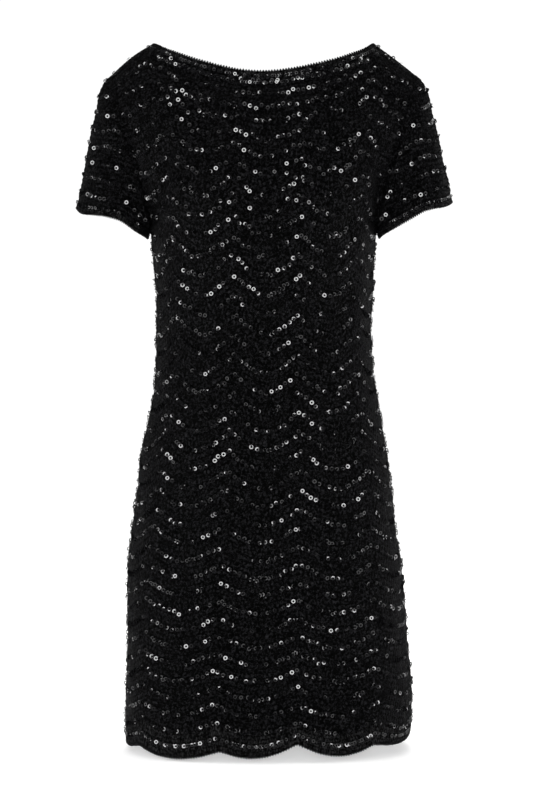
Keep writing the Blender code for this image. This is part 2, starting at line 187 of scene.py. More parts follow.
# Soft folds in the cloth, from one end to the other: troughs where depth is positive, ridges where it is negative.
Fold = namedtuple("Fold", "side x0 z0 x1 z1 width depth")
FOLDS = [
    Fold("front", -0.150, -0.236, -0.124, -0.140, 0.012, 0.0052),
    Fold("front", -0.146, -0.205, -0.095, -0.262, 0.012, 0.0019),
    Fold("front", 0.148, -0.232, 0.128, -0.122, 0.013, 0.0054),
    Fold("front", 0.143, -0.214, 0.098, -0.280, 0.011, 0.0016),
    Fold("front", 0.004, -0.125, 0.002, -0.345, 0.011, 0.0022),
    Fold("front", -0.074, -0.110, -0.064, -0.170, 0.016, 0.0013),
    Fold("front", 0.062, -0.096, 0.076, -0.205, 0.017, 0.0015),
    Fold("front", -0.120, -0.400, -0.060, -0.452, 0.018, 0.0014),
    Fold("front", 0.118, -0.352, 0.058, -0.418, 0.019, 0.0013),
    Fold("front", -0.085, -0.560, -0.094, -0.800, 0.020, 0.0019),
    Fold("front", 0.082, -0.610, 0.102, -0.850, 0.022, 0.0021),
    Fold("front", -0.012, -0.690, -0.010, -0.880, 0.018, 0.0014),
    Fold("front", 0.036, -0.520, 0.050, -0.690, 0.020, -0.0014),
    Fold("back", -0.150, -0.234, -0.112, -0.146, 0.014, 0.0031),
    Fold("back", 0.149, -0.236, 0.116, -0.138, 0.013, 0.0034),
    Fold("back", -0.138, -0.225, -0.082, -0.292, 0.014, 0.0018),
    Fold("back", 0.136, -0.230, 0.090, -0.276, 0.012, 0.0015),
    Fold("back", 0.002, -0.105, -0.004, -0.330, 0.014, 0.0019),
    Fold("back", -0.115, -0.372, -0.042, -0.428, 0.017, 0.0020),
    Fold("back", 0.112, -0.392, 0.030, -0.440, 0.018, 0.0018),
    Fold("back", -0.070, -0.600, -0.088, -0.840, 0.021, 0.0022),
    Fold("back", 0.066, -0.580, 0.079, -0.870, 0.020, 0.0020),
    Fold("back", 0.000, -0.640, 0.006, -0.780, 0.019, -0.0016),
]

# Places where more of the sequins have settled flat and face forward, so that they catch the light together.
Glint = namedtuple("Glint", "side x z wide tall lean")
GLINTS = [
    Glint("front", 0.000, -0.022, 0.010, 0.030, -0.35),
    Glint("front", -0.018, -0.120, 0.011, 0.045, -0.35),
    Glint("front", -0.032, -0.170, 0.012, 0.025, -0.20),
    Glint("front", 0.042, -0.110, 0.010, 0.050, -0.15),
    Glint("front", 0.030, -0.200, 0.012, 0.036, -0.20),
    Glint("front", -0.105, -0.090, 0.012, 0.020, 0.40),
    Glint("front", 0.133, -0.050, 0.012, 0.026, 0.0),
    Glint("front", 0.142, -0.042, 0.022, 0.022, 0.0),
    Glint("front", 0.150, -0.105, 0.014, 0.030, 0.30),
    Glint("front", 0.112, -0.150, 0.014, 0.020, 0.0),
    Glint("front", -0.090, -0.180, 0.016, 0.014, 0.0),
    Glint("front", -0.046, -0.200, 0.010, 0.028, 0.35),
    Glint("front", -0.028, -0.265, 0.016, 0.040, 0.20),
    Glint("front", -0.056, -0.262, 0.010, 0.030, 0.20),
    Glint("front", -0.045, -0.330, 0.016, 0.016, 0.0),
    Glint("front", 0.040, -0.300, 0.022, 0.020, -0.8),
    Glint("front", 0.030, -0.350, 0.022, 0.016, 0.0),
    Glint("front", 0.104, -0.320, 0.014, 0.024, 0.0),
    Glint("front", 0.095, -0.240, 0.010, 0.022, 0.0),
    Glint("front", -0.100, -0.320, 0.012, 0.013, 0.0),
    Glint("front", 0.012, -0.440, 0.012, 0.014, 0.0),
    Glint("front", 0.046, -0.470, 0.020, 0.014, -0.5),
    Glint("front", 0.100, -0.475, 0.012, 0.024, 0.0),
    Glint("front", 0.030, -0.520, 0.018, 0.018, 0.0),
    Glint("front", -0.054, -0.540, 0.013, 0.022, 0.0),
    Glint("front", 0.070, -0.585, 0.022, 0.014, 0.3),
    Glint("front", -0.120, -0.610, 0.010, 0.034, 0.0),
    Glint("front", -0.062, -0.636, 0.020, 0.008, 0.0),
    Glint("front", 0.012, -0.620, 0.016, 0.012, 0.0),
    Glint("front", -0.118, -0.725, 0.018, 0.022, 0.0),
    Glint("front", -0.074, -0.725, 0.013, 0.018, 0.0),
    Glint("front", -0.036, -0.690, 0.012, 0.014, 0.0),
    Glint("front", 0.020, -0.690, 0.012, 0.034, 0.0),
    Glint("front", 0.096, -0.705, 0.016, 0.014, 0.0),
    Glint("front", 0.078, -0.770, 0.024, 0.030, 0.0),
    Glint("front", 0.022, -0.790, 0.020, 0.024, 0.0),
    Glint("front", 0.140, -0.790, 0.012, 0.030, 0.0),
    Glint("front", -0.120, -0.800, 0.020, 0.020, 0.0),
    Glint("front", -0.062, -0.800, 0.020, 0.012, 0.0),
    Glint("back", -0.020, -0.120, 0.014, 0.045, 0.30),
    Glint("back", 0.045, -0.150, 0.013, 0.040, -0.20),
    Glint("back", -0.085, -0.190, 0.015, 0.030, 0.20),
    Glint("back", 0.030, -0.270, 0.016, 0.036, 0.15),
    Glint("back", -0.050, -0.340, 0.018, 0.024, 0.0),
    Glint("back", 0.085, -0.360, 0.014, 0.024, 0.0),
    Glint("back", 0.000, -0.440, 0.018, 0.018, 0.0),
    Glint("back", -0.090, -0.500, 0.016, 0.026, 0.0),
    Glint("back", 0.060, -0.540, 0.018, 0.020, 0.0),
    Glint("back", -0.030, -0.610, 0.020, 0.016, 0.0),
    Glint("back", 0.110, -0.660, 0.014, 0.030, 0.0),
    Glint("back", -0.110, -0.700, 0.018, 0.024, 0.0),
    Glint("back", 0.020, -0.730, 0.016, 0.030, 0.0),
    Glint("back", -0.050, -0.790, 0.022, 0.020, 0.0),
    Glint("back", 0.090, -0.810, 0.022, 0.018, 0.0),
]


# ---------------------------------------------------------------- curves through the tables
def read(table, at, column):
    keys = np.array([row[0] for row in table], float)
    values = np.array([getattr(row, column) for row in table], float)
    index = np.arange(len(keys))
    before, after = np.maximum(index - 1, 0), np.minimum(index + 1, len(keys) - 1)
    slopes = (values[after] - values[before]) / (keys[after] - keys[before])
    at = np.clip(at, keys[0], keys[-1])
    i = np.clip(np.searchsorted(keys, at, side="right") - 1, 0, len(keys) - 2)
    span = keys[i + 1] - keys[i]
    t = (at - keys[i]) / span
    return (
        (2 * t**3 - 3 * t**2 + 1) * values[i]
        + (t**3 - 2 * t**2 + t) * span * slopes[i]
        + (3 * t**2 - 2 * t**3) * values[i + 1]
        + (t**3 - t**2) * span * slopes[i + 1]
    )


def ease(low, high, value):
    t = np.clip((value - low) / (high - low), 0.0, 1.0)
    return t * t * (3 - 2 * t)


def unit(vectors):
    return vectors / np.maximum(np.linalg.norm(vectors, axis=-1, keepdims=True), 1e-12)


# ---------------------------------------------------------------- the form of the body, as in the CAD
def shoulder_line(x):
    run = np.abs(x) - NECK_HALF
    whole = SHOULDER_POINT_X - NECK_HALF
    crown = np.where(x > 0, SHOULDERS["left"].crown, SHOULDERS["right"].crown)
    seam = run / whole * SHOULDER_POINT_Z + crown * np.sin(np.pi * np.clip(run / whole, 0, 1))
    return np.where(run <= 0, -run * 0.6, seam)


def yoke_depth(side, x, z):
    edge = read(ARMHOLE, z, "x")
    valley = np.maximum(read(ARMHOLE, z, side), 0.0)
    middle = read(SECTIONS, z, side)
    square = YOKE_SQUARE
    whole = edge / (1 - (valley / middle) ** square) ** (1 / square)
    turned = middle * np.maximum(1 - (np.abs(x) / whole) ** square, 0.0) ** (1 / square)
    q = np.minimum(np.abs(x) / edge, 1.0)
    smooth = valley + (middle - valley) * (1 - q**2.2)
    blend = ease(-0.175, -0.105, z)
    over = np.clip((z - shoulder_line(x) + SHOULDER_ARCH) / SHOULDER_ARCH, 0.0, 1.0)
    return (1 - over**2.4) ** 0.5 * (turned * (1 - blend) + smooth * blend)


def across(theta, square):
    return np.sign(theta) * np.abs(np.sin(theta)) ** (2 / square)


def facing(side):
    return -1.0 if side == "front" else 1.0


def level_point(side, theta, z):
    left, right, depth, square = (read(SECTIONS, z, c) for c in ("left", "right", side, "square"))
    x = (left + right) / 2 + (right - left) / 2 * across(theta, square)
    y = depth * np.maximum(np.cos(theta), 0.0) ** (2 / square)
    return np.stack(np.broadcast_arrays(x, facing(side) * y, z), -1)


def joint_height(side, x):
    """Height of the body's top edge: the shoulder seams, and the line where the neck edging is worked on."""
    corner = NECK_HALF + EDGING_REACH * 0.8
    inner = np.clip(x * NECK_HALF / corner, -NECK_HALF, NECK_HALF)
    slope = EDGING_REACH * 0.5 + EDGING_REACH * 0.5 * (1 - np.minimum(np.abs(x) / corner, 1) ** 2)
    near = ease(0, 0.012, corner - np.abs(x))
    neck = read(NECK, inner, side) - slope * near + shoulder_line(np.full_like(x, corner)) * (1 - near)
    return np.where(np.abs(x) >= corner, shoulder_line(x), neck)


def yoke_point(side, theta, share):
    c = across(theta, YOKE_SQUARE)
    edge_z = ARMPIT_Z + (SHOULDER_POINT_Z - ARMPIT_Z) * share
    x = read(ARMHOLE, edge_z, "x") * c
    z = ARMPIT_Z + (joint_height(side, SHOULDER_POINT_X * c) - ARMPIT_Z) * share
    return np.stack(np.broadcast_arrays(x, facing(side) * yoke_depth(side, x, z), z), -1)


def body_point(side, theta, height):
    """A point of the body. height is z below the armpits, and above them the height on the armhole's own edge."""
    theta, height = np.broadcast_arrays(np.asarray(theta, float), np.asarray(height, float))
    share = np.clip((height - ARMPIT_Z) / (SHOULDER_POINT_Z - ARMPIT_Z), 0.0, 1.0)
    low = level_point(side, theta, np.minimum(height, ARMPIT_Z))
    return np.where((height < ARMPIT_Z)[..., None], low, yoke_point(side, theta, share))


# ---------------------------------------------------------------- places round the body, in ripples
LEVELS = np.linspace(-0.960, SHOULDER_POINT_Z, 93)
ANGLES = np.linspace(-math.pi / 2, math.pi / 2, 481)


def ripple_table():
    """For the front and the back, how many ripples on from the middle trough each angle is at each level."""
    lengths, xs = {}, {}
    for side in ("front", "back"):
        points = body_point(side, ANGLES[None, :], LEVELS[:, None])
        steps = np.linalg.norm(np.diff(points, axis=1), axis=2)
        lengths[side] = np.concatenate([np.zeros((len(LEVELS), 1)), np.cumsum(steps, axis=1)], axis=1)
        xs[side] = points[:, :, 0]
    turns = {"front": np.zeros((len(LEVELS), len(ANGLES))), "back": np.zeros((len(LEVELS), len(ANGLES)))}
    round_at_armpit = None
    for k, level in enumerate(LEVELS):
        front, back = lengths["front"][k], lengths["back"][k]
        middle = np.interp(read(RIPPLES, level, "middle"), xs["front"][k], front)
        if level < ARMPIT_Z:
            whole = front[-1] + back[-1]
            round_at_armpit = whole
            half_round = front[-1] - middle + back[-1] / 2
        share = half_round / whole
        turns["front"][k] = (front - middle) / whole * SCALLOPS
        turns["back"][k] = (share - (back - back[-1] / 2) / whole) * SCALLOPS
    return turns


TURNS = ripple_table()


def turn(side, theta, height):
    """Ripples on from the middle trough."""
    u = (np.clip(theta, ANGLES[0], ANGLES[-1]) - ANGLES[0]) / (ANGLES[1] - ANGLES[0])
    v = (np.clip(height, LEVELS[0], LEVELS[-1]) - LEVELS[0]) / (LEVELS[1] - LEVELS[0])
    i = np.clip(u.astype(int), 0, len(ANGLES) - 2)
    j = np.clip(v.astype(int), 0, len(LEVELS) - 2)
    i, j = np.broadcast_arrays(i, j)
    a, b = u - i, v - j
    t = TURNS[side]
    return (t[j, i] * (1 - a) + t[j, i + 1] * a) * (1 - b) + (t[j + 1, i] * (1 - a) + t[j + 1, i + 1] * a) * b


def ripple(turns, height):
    """How far a row is lifted there."""
    rise = 1 - np.abs(np.cos(np.pi * turns)) ** read(RIPPLES, height, "power")
    return read(RIPPLES, height, "swing") * (rise - 0.47)


FINE = np.linspace(-0.960, SHOULDER_POINT_Z, 2400)
_counts = np.concatenate([[0.0], np.cumsum(np.diff(FINE) / read(PITCHES, (FINE[1:] + FINE[:-1]) / 2, "pitch"))])
_counts -= np.interp(FIRST_ROW_Z, FINE, _counts)
TOP_ROW = float(_counts[-1])


def row_at(height):
    return np.interp(height, FINE, _counts)


def height_of(row):
    return np.interp(row, _counts, FINE)


# ---------------------------------------------------------------- relief
def hashed(*parts):
    """Numbers from 0 to 1 that look random and depend only on the parts."""
    total = np.zeros(np.broadcast(*parts).shape)
    for k, part in enumerate(parts):
        total = total + np.asarray(part, float) * (12.9898, 78.233, 37.719, 54.53)[k]
    return np.modf(np.abs(np.sin(total)) * 43758.5453)[0]


def wander(x, y, z, scale, seed):
    """Smooth noise from -1 to 1, with bumps about scale across."""
    total = np.zeros(np.broadcast(x, y, z).shape)
    source = np.random.default_rng(seed)
    for _ in range(14):
        way = source.normal(size=3)
        way /= np.linalg.norm(way)
        rate = 2 * math.pi / scale * source.uniform(0.6, 1.5)
        total = total + np.sin(rate * (x * way[0] + y * way[1] + z * way[2]) + source.uniform(0, 2 * math.pi))
    return total / 14**0.5 / 1.1


def fold_depth(side, x, z):
    """How far the cloth is pressed in by the soft folds."""
    total = np.zeros(np.broadcast(x, z).shape)
    for fold in FOLDS:
        if fold.side != side:
            continue
        a, b = np.array((fold.x0, fold.z0)), np.array((fold.x1, fold.z1))
        run = b - a
        t = ((x - a[0]) * run[0] + (z - a[1]) * run[1]) / (run @ run)
        inside = np.clip(t, 0.0, 1.0)
        bend = 0.10 * np.linalg.norm(run) * np.sin(np.pi * inside)
        off = ((x - a[0]) * run[1] - (z - a[1]) * run[0]) / np.linalg.norm(run) - bend
        gap = np.linalg.norm(run) * np.abs(t - inside)
        fade = np.sin(np.pi * (0.06 + 0.88 * inside)) ** 0.8
        total = total + fold.depth * fade * np.exp(-(off**2 + gap**2) / (2 * (fold.width * 0.55) ** 2))
    return total


def body_swell(side, points, turns, height, post):
    """The cloth's own soft relief, outward: ripple peaks stand forward, and folds are pressed in."""
    x, y, z = points[..., 0], points[..., 1], points[..., 2]
    gap = np.minimum(post, POSTS - post)
    seam = ease(0.0, 3.0, gap)
    tuck = 0.0032 * np.exp(-(((gap - 2.0) / 1.3) ** 2)) * ease(-0.250, -0.222, z) * ease(-0.100, -0.140, z)
    fade = ease(SHOULDER_POINT_Z, -0.090, height)
    ridge = 0.0013 * (0.5 - np.cos(2 * np.pi * turns) * 0.5 - 0.4) * fade
    slow = 0.0009 * wander(x, y, z, 0.11, 3) + 0.0005 * wander(x, y, z, 0.045, 4)
    return ridge + slow * fade + tuck - fold_depth(side, x, z) * seam


def crochet(row, post, height=1.0):
    """Ridges of the crochet, and the posts across them: outward, in metres."""
    third = 3 * row
    ridge = 0.5 + 0.5 * np.cos(2 * np.pi * third)
    main = 0.5 + 0.5 * np.cos(2 * np.pi * row)
    line = np.round(third)
    lean = post + 0.5 * (line % 2)
    across_posts = np.cos(2 * np.pi * lean)
    uneven = hashed(np.round(lean), line) - 0.5
    return height * (0.00075 * ridge * (0.8 + 0.45 * main) + 0.0003 * main**4 + 0.00028 * across_posts + 0.00035 * uneven)


def grid_normals(points, closed, outward_from):
    """Smooth normals of a grid of points, columns first, pointing away from a centre."""
    along = np.empty_like(points)
    if closed:
        along = np.roll(points, -1, 0) - np.roll(points, 1, 0)
    else:
        along[1:-1] = points[2:] - points[:-2]
        along[0], along[-1] = points[1] - points[0], points[-1] - points[-2]
    up = np.empty_like(points)
    up[:, 1:-1] = points[:, 2:] - points[:, :-2]
    up[:, 0], up[:, -1] = points[:, 1] - points[:, 0], points[:, -1] - points[:, -2]
    normals = unit(np.cross(along, up))
    middle = points.shape[0] // 3, points.shape[1] // 2
    if normals[middle] @ (points[middle] - outward_from) < 0:
        normals = -normals
    return normals


# ---------------------------------------------------------------- meshes
def mesh_object(name, points, face_sets, material, smooth=True):
    """An object from points and sets of faces; each set is an array of faces that have the same number of corners."""
    mesh = bpy.data.meshes.new(name)
    sizes = np.concatenate([np.full(len(f), f.shape[1]) for f in face_sets])
    corners = np.concatenate([f.ravel() for f in face_sets])
    mesh.vertices.add(len(points))
    mesh.vertices.foreach_set("co", np.ascontiguousarray(points, np.float32).ravel())
    mesh.loops.add(len(corners))
    mesh.loops.foreach_set("vertex_index", corners.astype(np.int32))
    mesh.polygons.add(len(sizes))
    mesh.polygons.foreach_set("loop_start", np.concatenate([[0], np.cumsum(sizes)[:-1]]).astype(np.int32))
    mesh.update(calc_edges=True)
    mesh.polygons.foreach_set("use_smooth", np.full(len(sizes), smooth))
    obj = bpy.data.objects.new(name, mesh)
    bpy.context.scene.collection.objects.link(obj)
    mesh.materials.append(material)
    return obj


def corner_values(mesh, values, name):
    """A UV map from a pair of values at each point."""
    layer = mesh.uv_layers.new(name=name)
    corners = np.empty(len(mesh.loops), np.int32)
    mesh.loops.foreach_get("vertex_index", corners)
    layer.uv.foreach_set("vector", np.ascontiguousarray(values[corners], np.float32).ravel())


def shell(name, outer, normals, closed, stitch, material, every=3, thickness=SHELL):
    """Closed cloth: the outer grid, and a coarser inner one, joined round the edges. Columns come first.

    stitch is the grid of (post, row) places that the yarn's pattern reads."""
    n, m = outer.shape[:2]
    inner = (outer - normals * thickness)[::every, ::every]
    inner_stitch = stitch[::every, ::every]
    a, b = inner.shape[:2]
    base = n * m
    index = np.arange(n * m).reshape(n, m)
    small = base + np.arange(a * b).reshape(a, b)
    if closed:
        index, small = np.vstack([index, index[:1]]), np.vstack([small, small[:1]])
    face = np.stack([index[:-1, :-1], index[1:, :-1], index[1:, 1:], index[:-1, 1:]], -1).reshape(-1, 4)
    back = np.stack([small[:-1, :-1], small[:-1, 1:], small[1:, 1:], small[1:, :-1]], -1).reshape(-1, 4)
    one = outer[1, 1] - outer[0, 0]
    flip = np.cross(outer[1, 0] - outer[0, 0], outer[0, 1] - outer[0, 0]) @ normals[0, 0] < 0
    rims = []

    def rim(edge, small_edge):
        parts = [edge[k : len(edge) - every + k : every] for k in range(every)] + [edge[every::every]]
        rims.append(np.stack([*parts[::-1], small_edge[:-1], small_edge[1:]], -1))

    rim(index[:, 0], small[:, 0])
    rim(index[::-1, -1], small[::-1, -1])
    if not closed:
        rim(index[0, ::-1], small[0, ::-1])
        rim(index[-1], small[-1])
    rims = np.concatenate(rims)
    if flip:
        face, back, rims = face[:, ::-1], back[:, ::-1], rims[:, ::-1]
    points = np.concatenate([outer.reshape(-1, 3), inner.reshape(-1, 3)])
    obj = mesh_object(name, points, [np.concatenate([face, back]), rims], material)
    corner_values(obj.data, np.concatenate([stitch.reshape(-1, 2), inner_stitch.reshape(-1, 2)]), "stitch")
    return obj


# ---------------------------------------------------------------- materials
def new_material(name):
    material = bpy.data.materials.new(name)
    material.use_nodes = True
    tree = material.node_tree
    shader = tree.nodes["Principled BSDF"]
    return material, tree, shader


def node(tree, kind, inputs=None, **settings):
    made = tree.nodes.new("ShaderNode" + kind)
    for key, value in settings.items():
        setattr(made, key, value)
    for key, value in (inputs or {}).items():
        if isinstance(value, bpy.types.NodeSocket):
            tree.links.new(value, made.inputs[key])
        else:
            made.inputs[key].default_value = value
    return made


def maths(tree, operation, a, b=None, clamp=False):
    inputs = {0: a} if b is None else {0: a, 1: b}
    return node(tree, "Math", inputs, operation=operation, use_clamp=clamp).outputs[0]


def yarn_material(name, dark, light, rows_each=3.0, strength=0.55, rough=(0.42, 0.70), stitches=0.60):
    """Black crochet yarn: posts in rows, each stitch a little different, twisted strands and a soft bloom of fibres.
    Its colour holds painted shade in the gaps between stitches and rows, and a painted sheen that differs along the
    strands and from stitch to stitch.
    """
    material, tree, shader = new_material(name)
    place = node(tree, "UVMap", uv_map="stitch").outputs[0]
    split = node(tree, "SeparateXYZ", {0: place})
    third = maths(tree, "MULTIPLY", split.outputs[1], rows_each)
    line = maths(tree, "ROUND", third)
    odd = maths(tree, "MULTIPLY", maths(tree, "PINGPONG", line, 1.0), 0.5)
    post = maths(tree, "ADD", split.outputs[0], odd)
    stitch = node(tree, "CombineXYZ", {0: maths(tree, "ROUND", post), 1: line})
    chance = node(tree, "TexWhiteNoise", {0: stitch.outputs[0]}, noise_dimensions="2D")
    # A stitch is a pair of strands that lean together, parted by gaps at its sides and between the rows. The pattern
    # gives the bump, and in the colour it paints shade into the gaps.
    side = maths(tree, "ABSOLUTE", maths(tree, "SINE", maths(tree, "MULTIPLY", maths(tree, "ADD", post, 0.5), math.pi)))
    lap = maths(tree, "ABSOLUTE", maths(tree, "SINE", maths(tree, "MULTIPLY", maths(tree, "ADD", third, 0.5), math.pi)))
    lean = maths(tree, "ADD", maths(tree, "MULTIPLY", post, 4 * math.pi), maths(tree, "MULTIPLY", third, 3 * math.pi))
    strand = maths(tree, "ABSOLUTE", maths(tree, "SINE", lean))
    body = maths(tree, "POWER", maths(tree, "MULTIPLY", side, lap), 0.6)
    where = node(tree, "TexCoord").outputs["Object"]
    fibre = node(tree, "TexNoise", {"Vector": where, "Scale": 400.0, "Detail": 4.0, "Roughness": 0.66, "Distortion": 0.8})
    fluff = node(tree, "TexNoise", {"Vector": where, "Scale": 1100.0, "Detail": 1.0})
    height = maths(tree, "ADD", maths(tree, "MULTIPLY", body, 0.75), maths(tree, "MULTIPLY", strand, 0.35))
    height = maths(tree, "ADD", height, maths(tree, "MULTIPLY", fibre.outputs[0], 1.1))
    height = maths(tree, "ADD", height, maths(tree, "MULTIPLY", chance.outputs[0], 0.35))
    height = maths(tree, "ADD", height, maths(tree, "MULTIPLY", fluff.outputs[0], 0.25))
    bump = node(tree, "Bump", {"Strength": strength, "Distance": 0.0011, "Height": height})
    tree.links.new(bump.outputs[0], shader.inputs["Normal"])
    # Painted shade and sheen: the colour is darkened in the gaps and lightened along the strands' twist, with a painted
    # sheen that differs from stitch to stitch.
    lit = maths(tree, "MULTIPLY", maths(tree, "ADD", maths(tree, "MULTIPLY", strand, 0.45), 0.55), body)
    lit = maths(tree, "MULTIPLY", lit, maths(tree, "ADD", maths(tree, "MULTIPLY", chance.outputs[0], 1.0), 0.25))
    grain = maths(tree, "MULTIPLY", maths(tree, "SUBTRACT", fibre.outputs[0], 0.5), 5.8)
    specks = maths(tree, "MULTIPLY", maths(tree, "SUBTRACT", fluff.outputs[0], 0.5), 1.5)
    tone = maths(tree, "ADD", maths(tree, "MULTIPLY", lit, stitches), maths(tree, "ADD", grain, specks))
    tone = maths(tree, "SUBTRACT", tone, 0.18, clamp=True)
    colour = node(tree, "Mix", {0: tone, 6: (*dark, 1.0), 7: (*light, 1.0)}, data_type="RGBA")
    tree.links.new(colour.outputs[2], shader.inputs["Base Color"])
    shine = node(tree, "MapRange", {0: chance.outputs[0], 3: rough[0], 4: rough[1]})
    tree.links.new(shine.outputs[0], shader.inputs["Roughness"])
    shader.inputs["Specular IOR Level"].default_value = 0.012
    shader.inputs["Sheen Weight"].default_value = 0.0015
    shader.inputs["Sheen Roughness"].default_value = 0.45
    return material


def sequin_material(name):
    """Glossy black plastic, with a faint swirl of wear in the gloss."""
    material, tree, shader = new_material(name)
    where = node(tree, "TexCoord").outputs["Object"]
    worn = node(tree, "TexNoise", {"Vector": where, "Scale": 340.0, "Detail": 4.0, "Roughness": 0.7})
    gloss = node(tree, "MapRange", {0: worn.outputs[0], 1: 0.3, 2: 0.75, 3: 0.05, 4: 0.14})
    tree.links.new(gloss.outputs[0], shader.inputs["Roughness"])
    tint = node(tree, "Mix", {0: worn.outputs[0], 6: (0.003, 0.003, 0.0035, 1.0), 7: (0.009, 0.009, 0.010, 1.0)}, data_type="RGBA")
    tree.links.new(tint.outputs[2], shader.inputs["Base Color"])
    bump = node(tree, "Bump", {"Strength": 0.12, "Distance": 0.0002, "Height": worn.outputs[0]})
    tree.links.new(bump.outputs[0], shader.inputs["Normal"])
    shader.inputs["Specular IOR Level"].default_value = 0.42
    return material


YARN = yarn_material("black_crochet_yarn", (0.0001, 0.0001, 0.0001), (0.0174, 0.0173, 0.0189))
EDGING = yarn_material("black_edging_yarn", (0.0001, 0.0001, 0.0001), (0.0235, 0.0234, 0.0243), rows_each=1.0, strength=0.45, stitches=1.1)
SEQUIN = sequin_material("black_ring_sequins")

# ---------------------------------------------------------------- front and back
CENTRE = np.array((0.005, 0.0, -0.45))


def panel_angles():
    """Angles of the mesh columns, evenly spaced by length at the waist: two to a post."""
    points = body_point("front", ANGLES, np.full_like(ANGLES, -0.50))
    length = np.concatenate([[0.0], np.cumsum(np.linalg.norm(np.diff(points, axis=0), axis=1))])
    return np.interp(np.linspace(0, length[-1], 2 * POSTS + 1), length, ANGLES)


def panel_rows():
    """Mesh rows, as counts of sequin rows: even, then closer together where the cloth turns over the shoulders."""
    turn_from = float(row_at(-0.062))
    rows = list(np.arange(round(PANEL_FROM * ROW_STEPS), int(turn_from * ROW_STEPS) + 1) / ROW_STEPS)
    while (len(rows) + 14) % 3 != 1:
        rows.append(rows[-1] + 1 / ROW_STEPS)
    last = rows[-1]
    rows += [last + (TOP_ROW - last) * (1 - (1 - k / 14) ** 2.0) for k in range(1, 15)]
    return np.array(rows)


COLUMN_ANGLES = panel_angles()
COLUMN_POSTS = np.arange(2 * POSTS + 1) / 2
MESH_ROWS = panel_rows()


def panel_surface(side, theta, row):
    """The soft surface of the front or the back, without its crochet: theta and row are grids."""
    height = height_of(row)
    turns = turn(side, theta, height)
    lifted = np.minimum(height + ripple(turns, height), SHOULDER_POINT_Z)
    return body_point(side, theta, lifted), turns, height


def panel(side):
    theta, row = np.broadcast_arrays(COLUMN_ANGLES[:, None], MESH_ROWS[None, :])
    base, turns, height = panel_surface(side, theta, row)
    normals = grid_normals(base, False, CENTRE)
    post = np.broadcast_to(COLUMN_POSTS[:, None], row.shape)
    soft = base + normals * body_swell(side, base, turns, height, post)[..., None]
    edge = np.minimum(ease(0, 2.5, post), ease(0, 2.5, POSTS - post)) * ease(TOP_ROW, TOP_ROW - 0.35, row)
    outer = soft + grid_normals(soft, False, CENTRE) * crochet(row, post, 0.35 + 0.65 * edge)[..., None]
    obj = shell("cloth_" + side, outer, normals, False, np.stack([post, row], -1), YARN)
    return obj, soft


front_cloth, front_soft = panel("front")
back_cloth, back_soft = panel("back")


# ---------------------------------------------------------------- sleeves
def cad_columns():
    corner = (NECK_HALF + EDGING_REACH * 0.8) / SHOULDER_POINT_X
    at = math.asin(corner ** (YOKE_SQUARE / 2))
    return [at + (math.pi / 2 - at) * i / STRAP_COLUMNS for i in range(1, STRAP_COLUMNS + 1)]


def leaving(which):
    """The directions in which the body's cloth runs off its edge, at the CAD's stations, up the front and the back."""
    way = 1.0 if which == "left" else -1.0
    strap = cad_columns()
    rows = np.array(YOKE_ROWS)
    found = {}
    for side in ("front", "back"):
        edge = yoke_point(side, np.full_like(rows, way * strap[-1]), rows)
        inside = yoke_point(side, np.full_like(rows, way * strap[-2]), rows)
        found[side] = unit(edge - inside)
    return found


Sleeve = namedtuple("Sleeve", "start a b end length")


def sleeve_lines(which, side, share):
    """The sleeve's lines from the armhole to the free edge: share is the height up the armhole, from 0 to 1."""
    way = 1.0 if which == "left" else -1.0
    sign = facing(side)
    fine = np.linspace(0, 1, 201)
    ring = yoke_point(side, np.full_like(fine, way * math.pi / 2), fine)
    length = np.concatenate([[0.0], np.cumsum(np.linalg.norm(np.diff(ring, axis=0), axis=1))])
    along = np.interp(share, fine, length / length[-1])
    start = yoke_point(side, np.full_like(share, way * math.pi / 2), share)
    table = SLEEVE_HEM[which]
    end = np.stack([read(table, along, "x"), sign * read(table, along, "y"), read(table, along, side)], -1)
    found = leaving(which)[side]
    leave = np.stack([np.interp(share, YOKE_ROWS, found[:, k]) for k in range(3)], -1)
    crease = unit(np.stack(np.broadcast_arrays(0.55 * way, sign * 0.45 * np.sin(np.pi * along), -0.75), -1))
    smooth = ease(-0.165, -0.100, start[:, 2])[:, None]
    out = unit(leave * smooth + crease * (1 - smooth))
    down = np.array((0.234 * way, 0.0, -0.972))
    size = np.linalg.norm(end - start, axis=1)[:, None]
    return Sleeve(start, start + out * size * SHOULDERS[which].fullness, end - down * size * 0.44, end, size)


def sleeve_point(lines, s):
    """Points of the lines, at shares s of their length. s has one row for each line."""
    s = s[..., None]
    start, a, b, end = (v[:, None, :] for v in (lines.start, lines.a, lines.b, lines.end))
    return (1 - s) ** 3 * start + 3 * s * (1 - s) ** 2 * a + 3 * s * s * (1 - s) * b + s**3 * end


SLEEVE_COLUMNS = 222  # two to a post, all round
SLEEVE_MESH_ROWS = 76
SLEEVE_PITCH = 0.0212
SLEEVE_FIRST = 0.0225  # first full row of sequins, up from the sleeve's free edge


def sleeve_ring(which):
    """Stations round the armhole, up the front and down the back, evenly spaced along the sleeve's hem."""
    fine = np.linspace(0, 1, 401)
    parts = []
    for side in ("front", "back"):
        lines = sleeve_lines(which, side, fine)
        middle = sleeve_point(lines, np.full((len(fine), 1), 0.6))[:, 0]
        length = np.concatenate([[0.0], np.cumsum(np.linalg.norm(np.diff(middle, axis=0), axis=1))])
        n = SLEEVE_COLUMNS // 2
        shares = np.interp(np.linspace(0, length[-1], n + 1), length, fine)
        parts.append(shares)
    return parts


def both(which, front_shares, back_shares):
    front = sleeve_lines(which, "front", front_shares)
    back = sleeve_lines(which, "back", back_shares)
    return Sleeve(*(np.concatenate([a, b[::-1][1:-1]]) for a, b in zip(front, back)))


def sleeve_centre(which):
    return np.array((0.20 if which == "left" else -0.20, 0.0, -0.14))


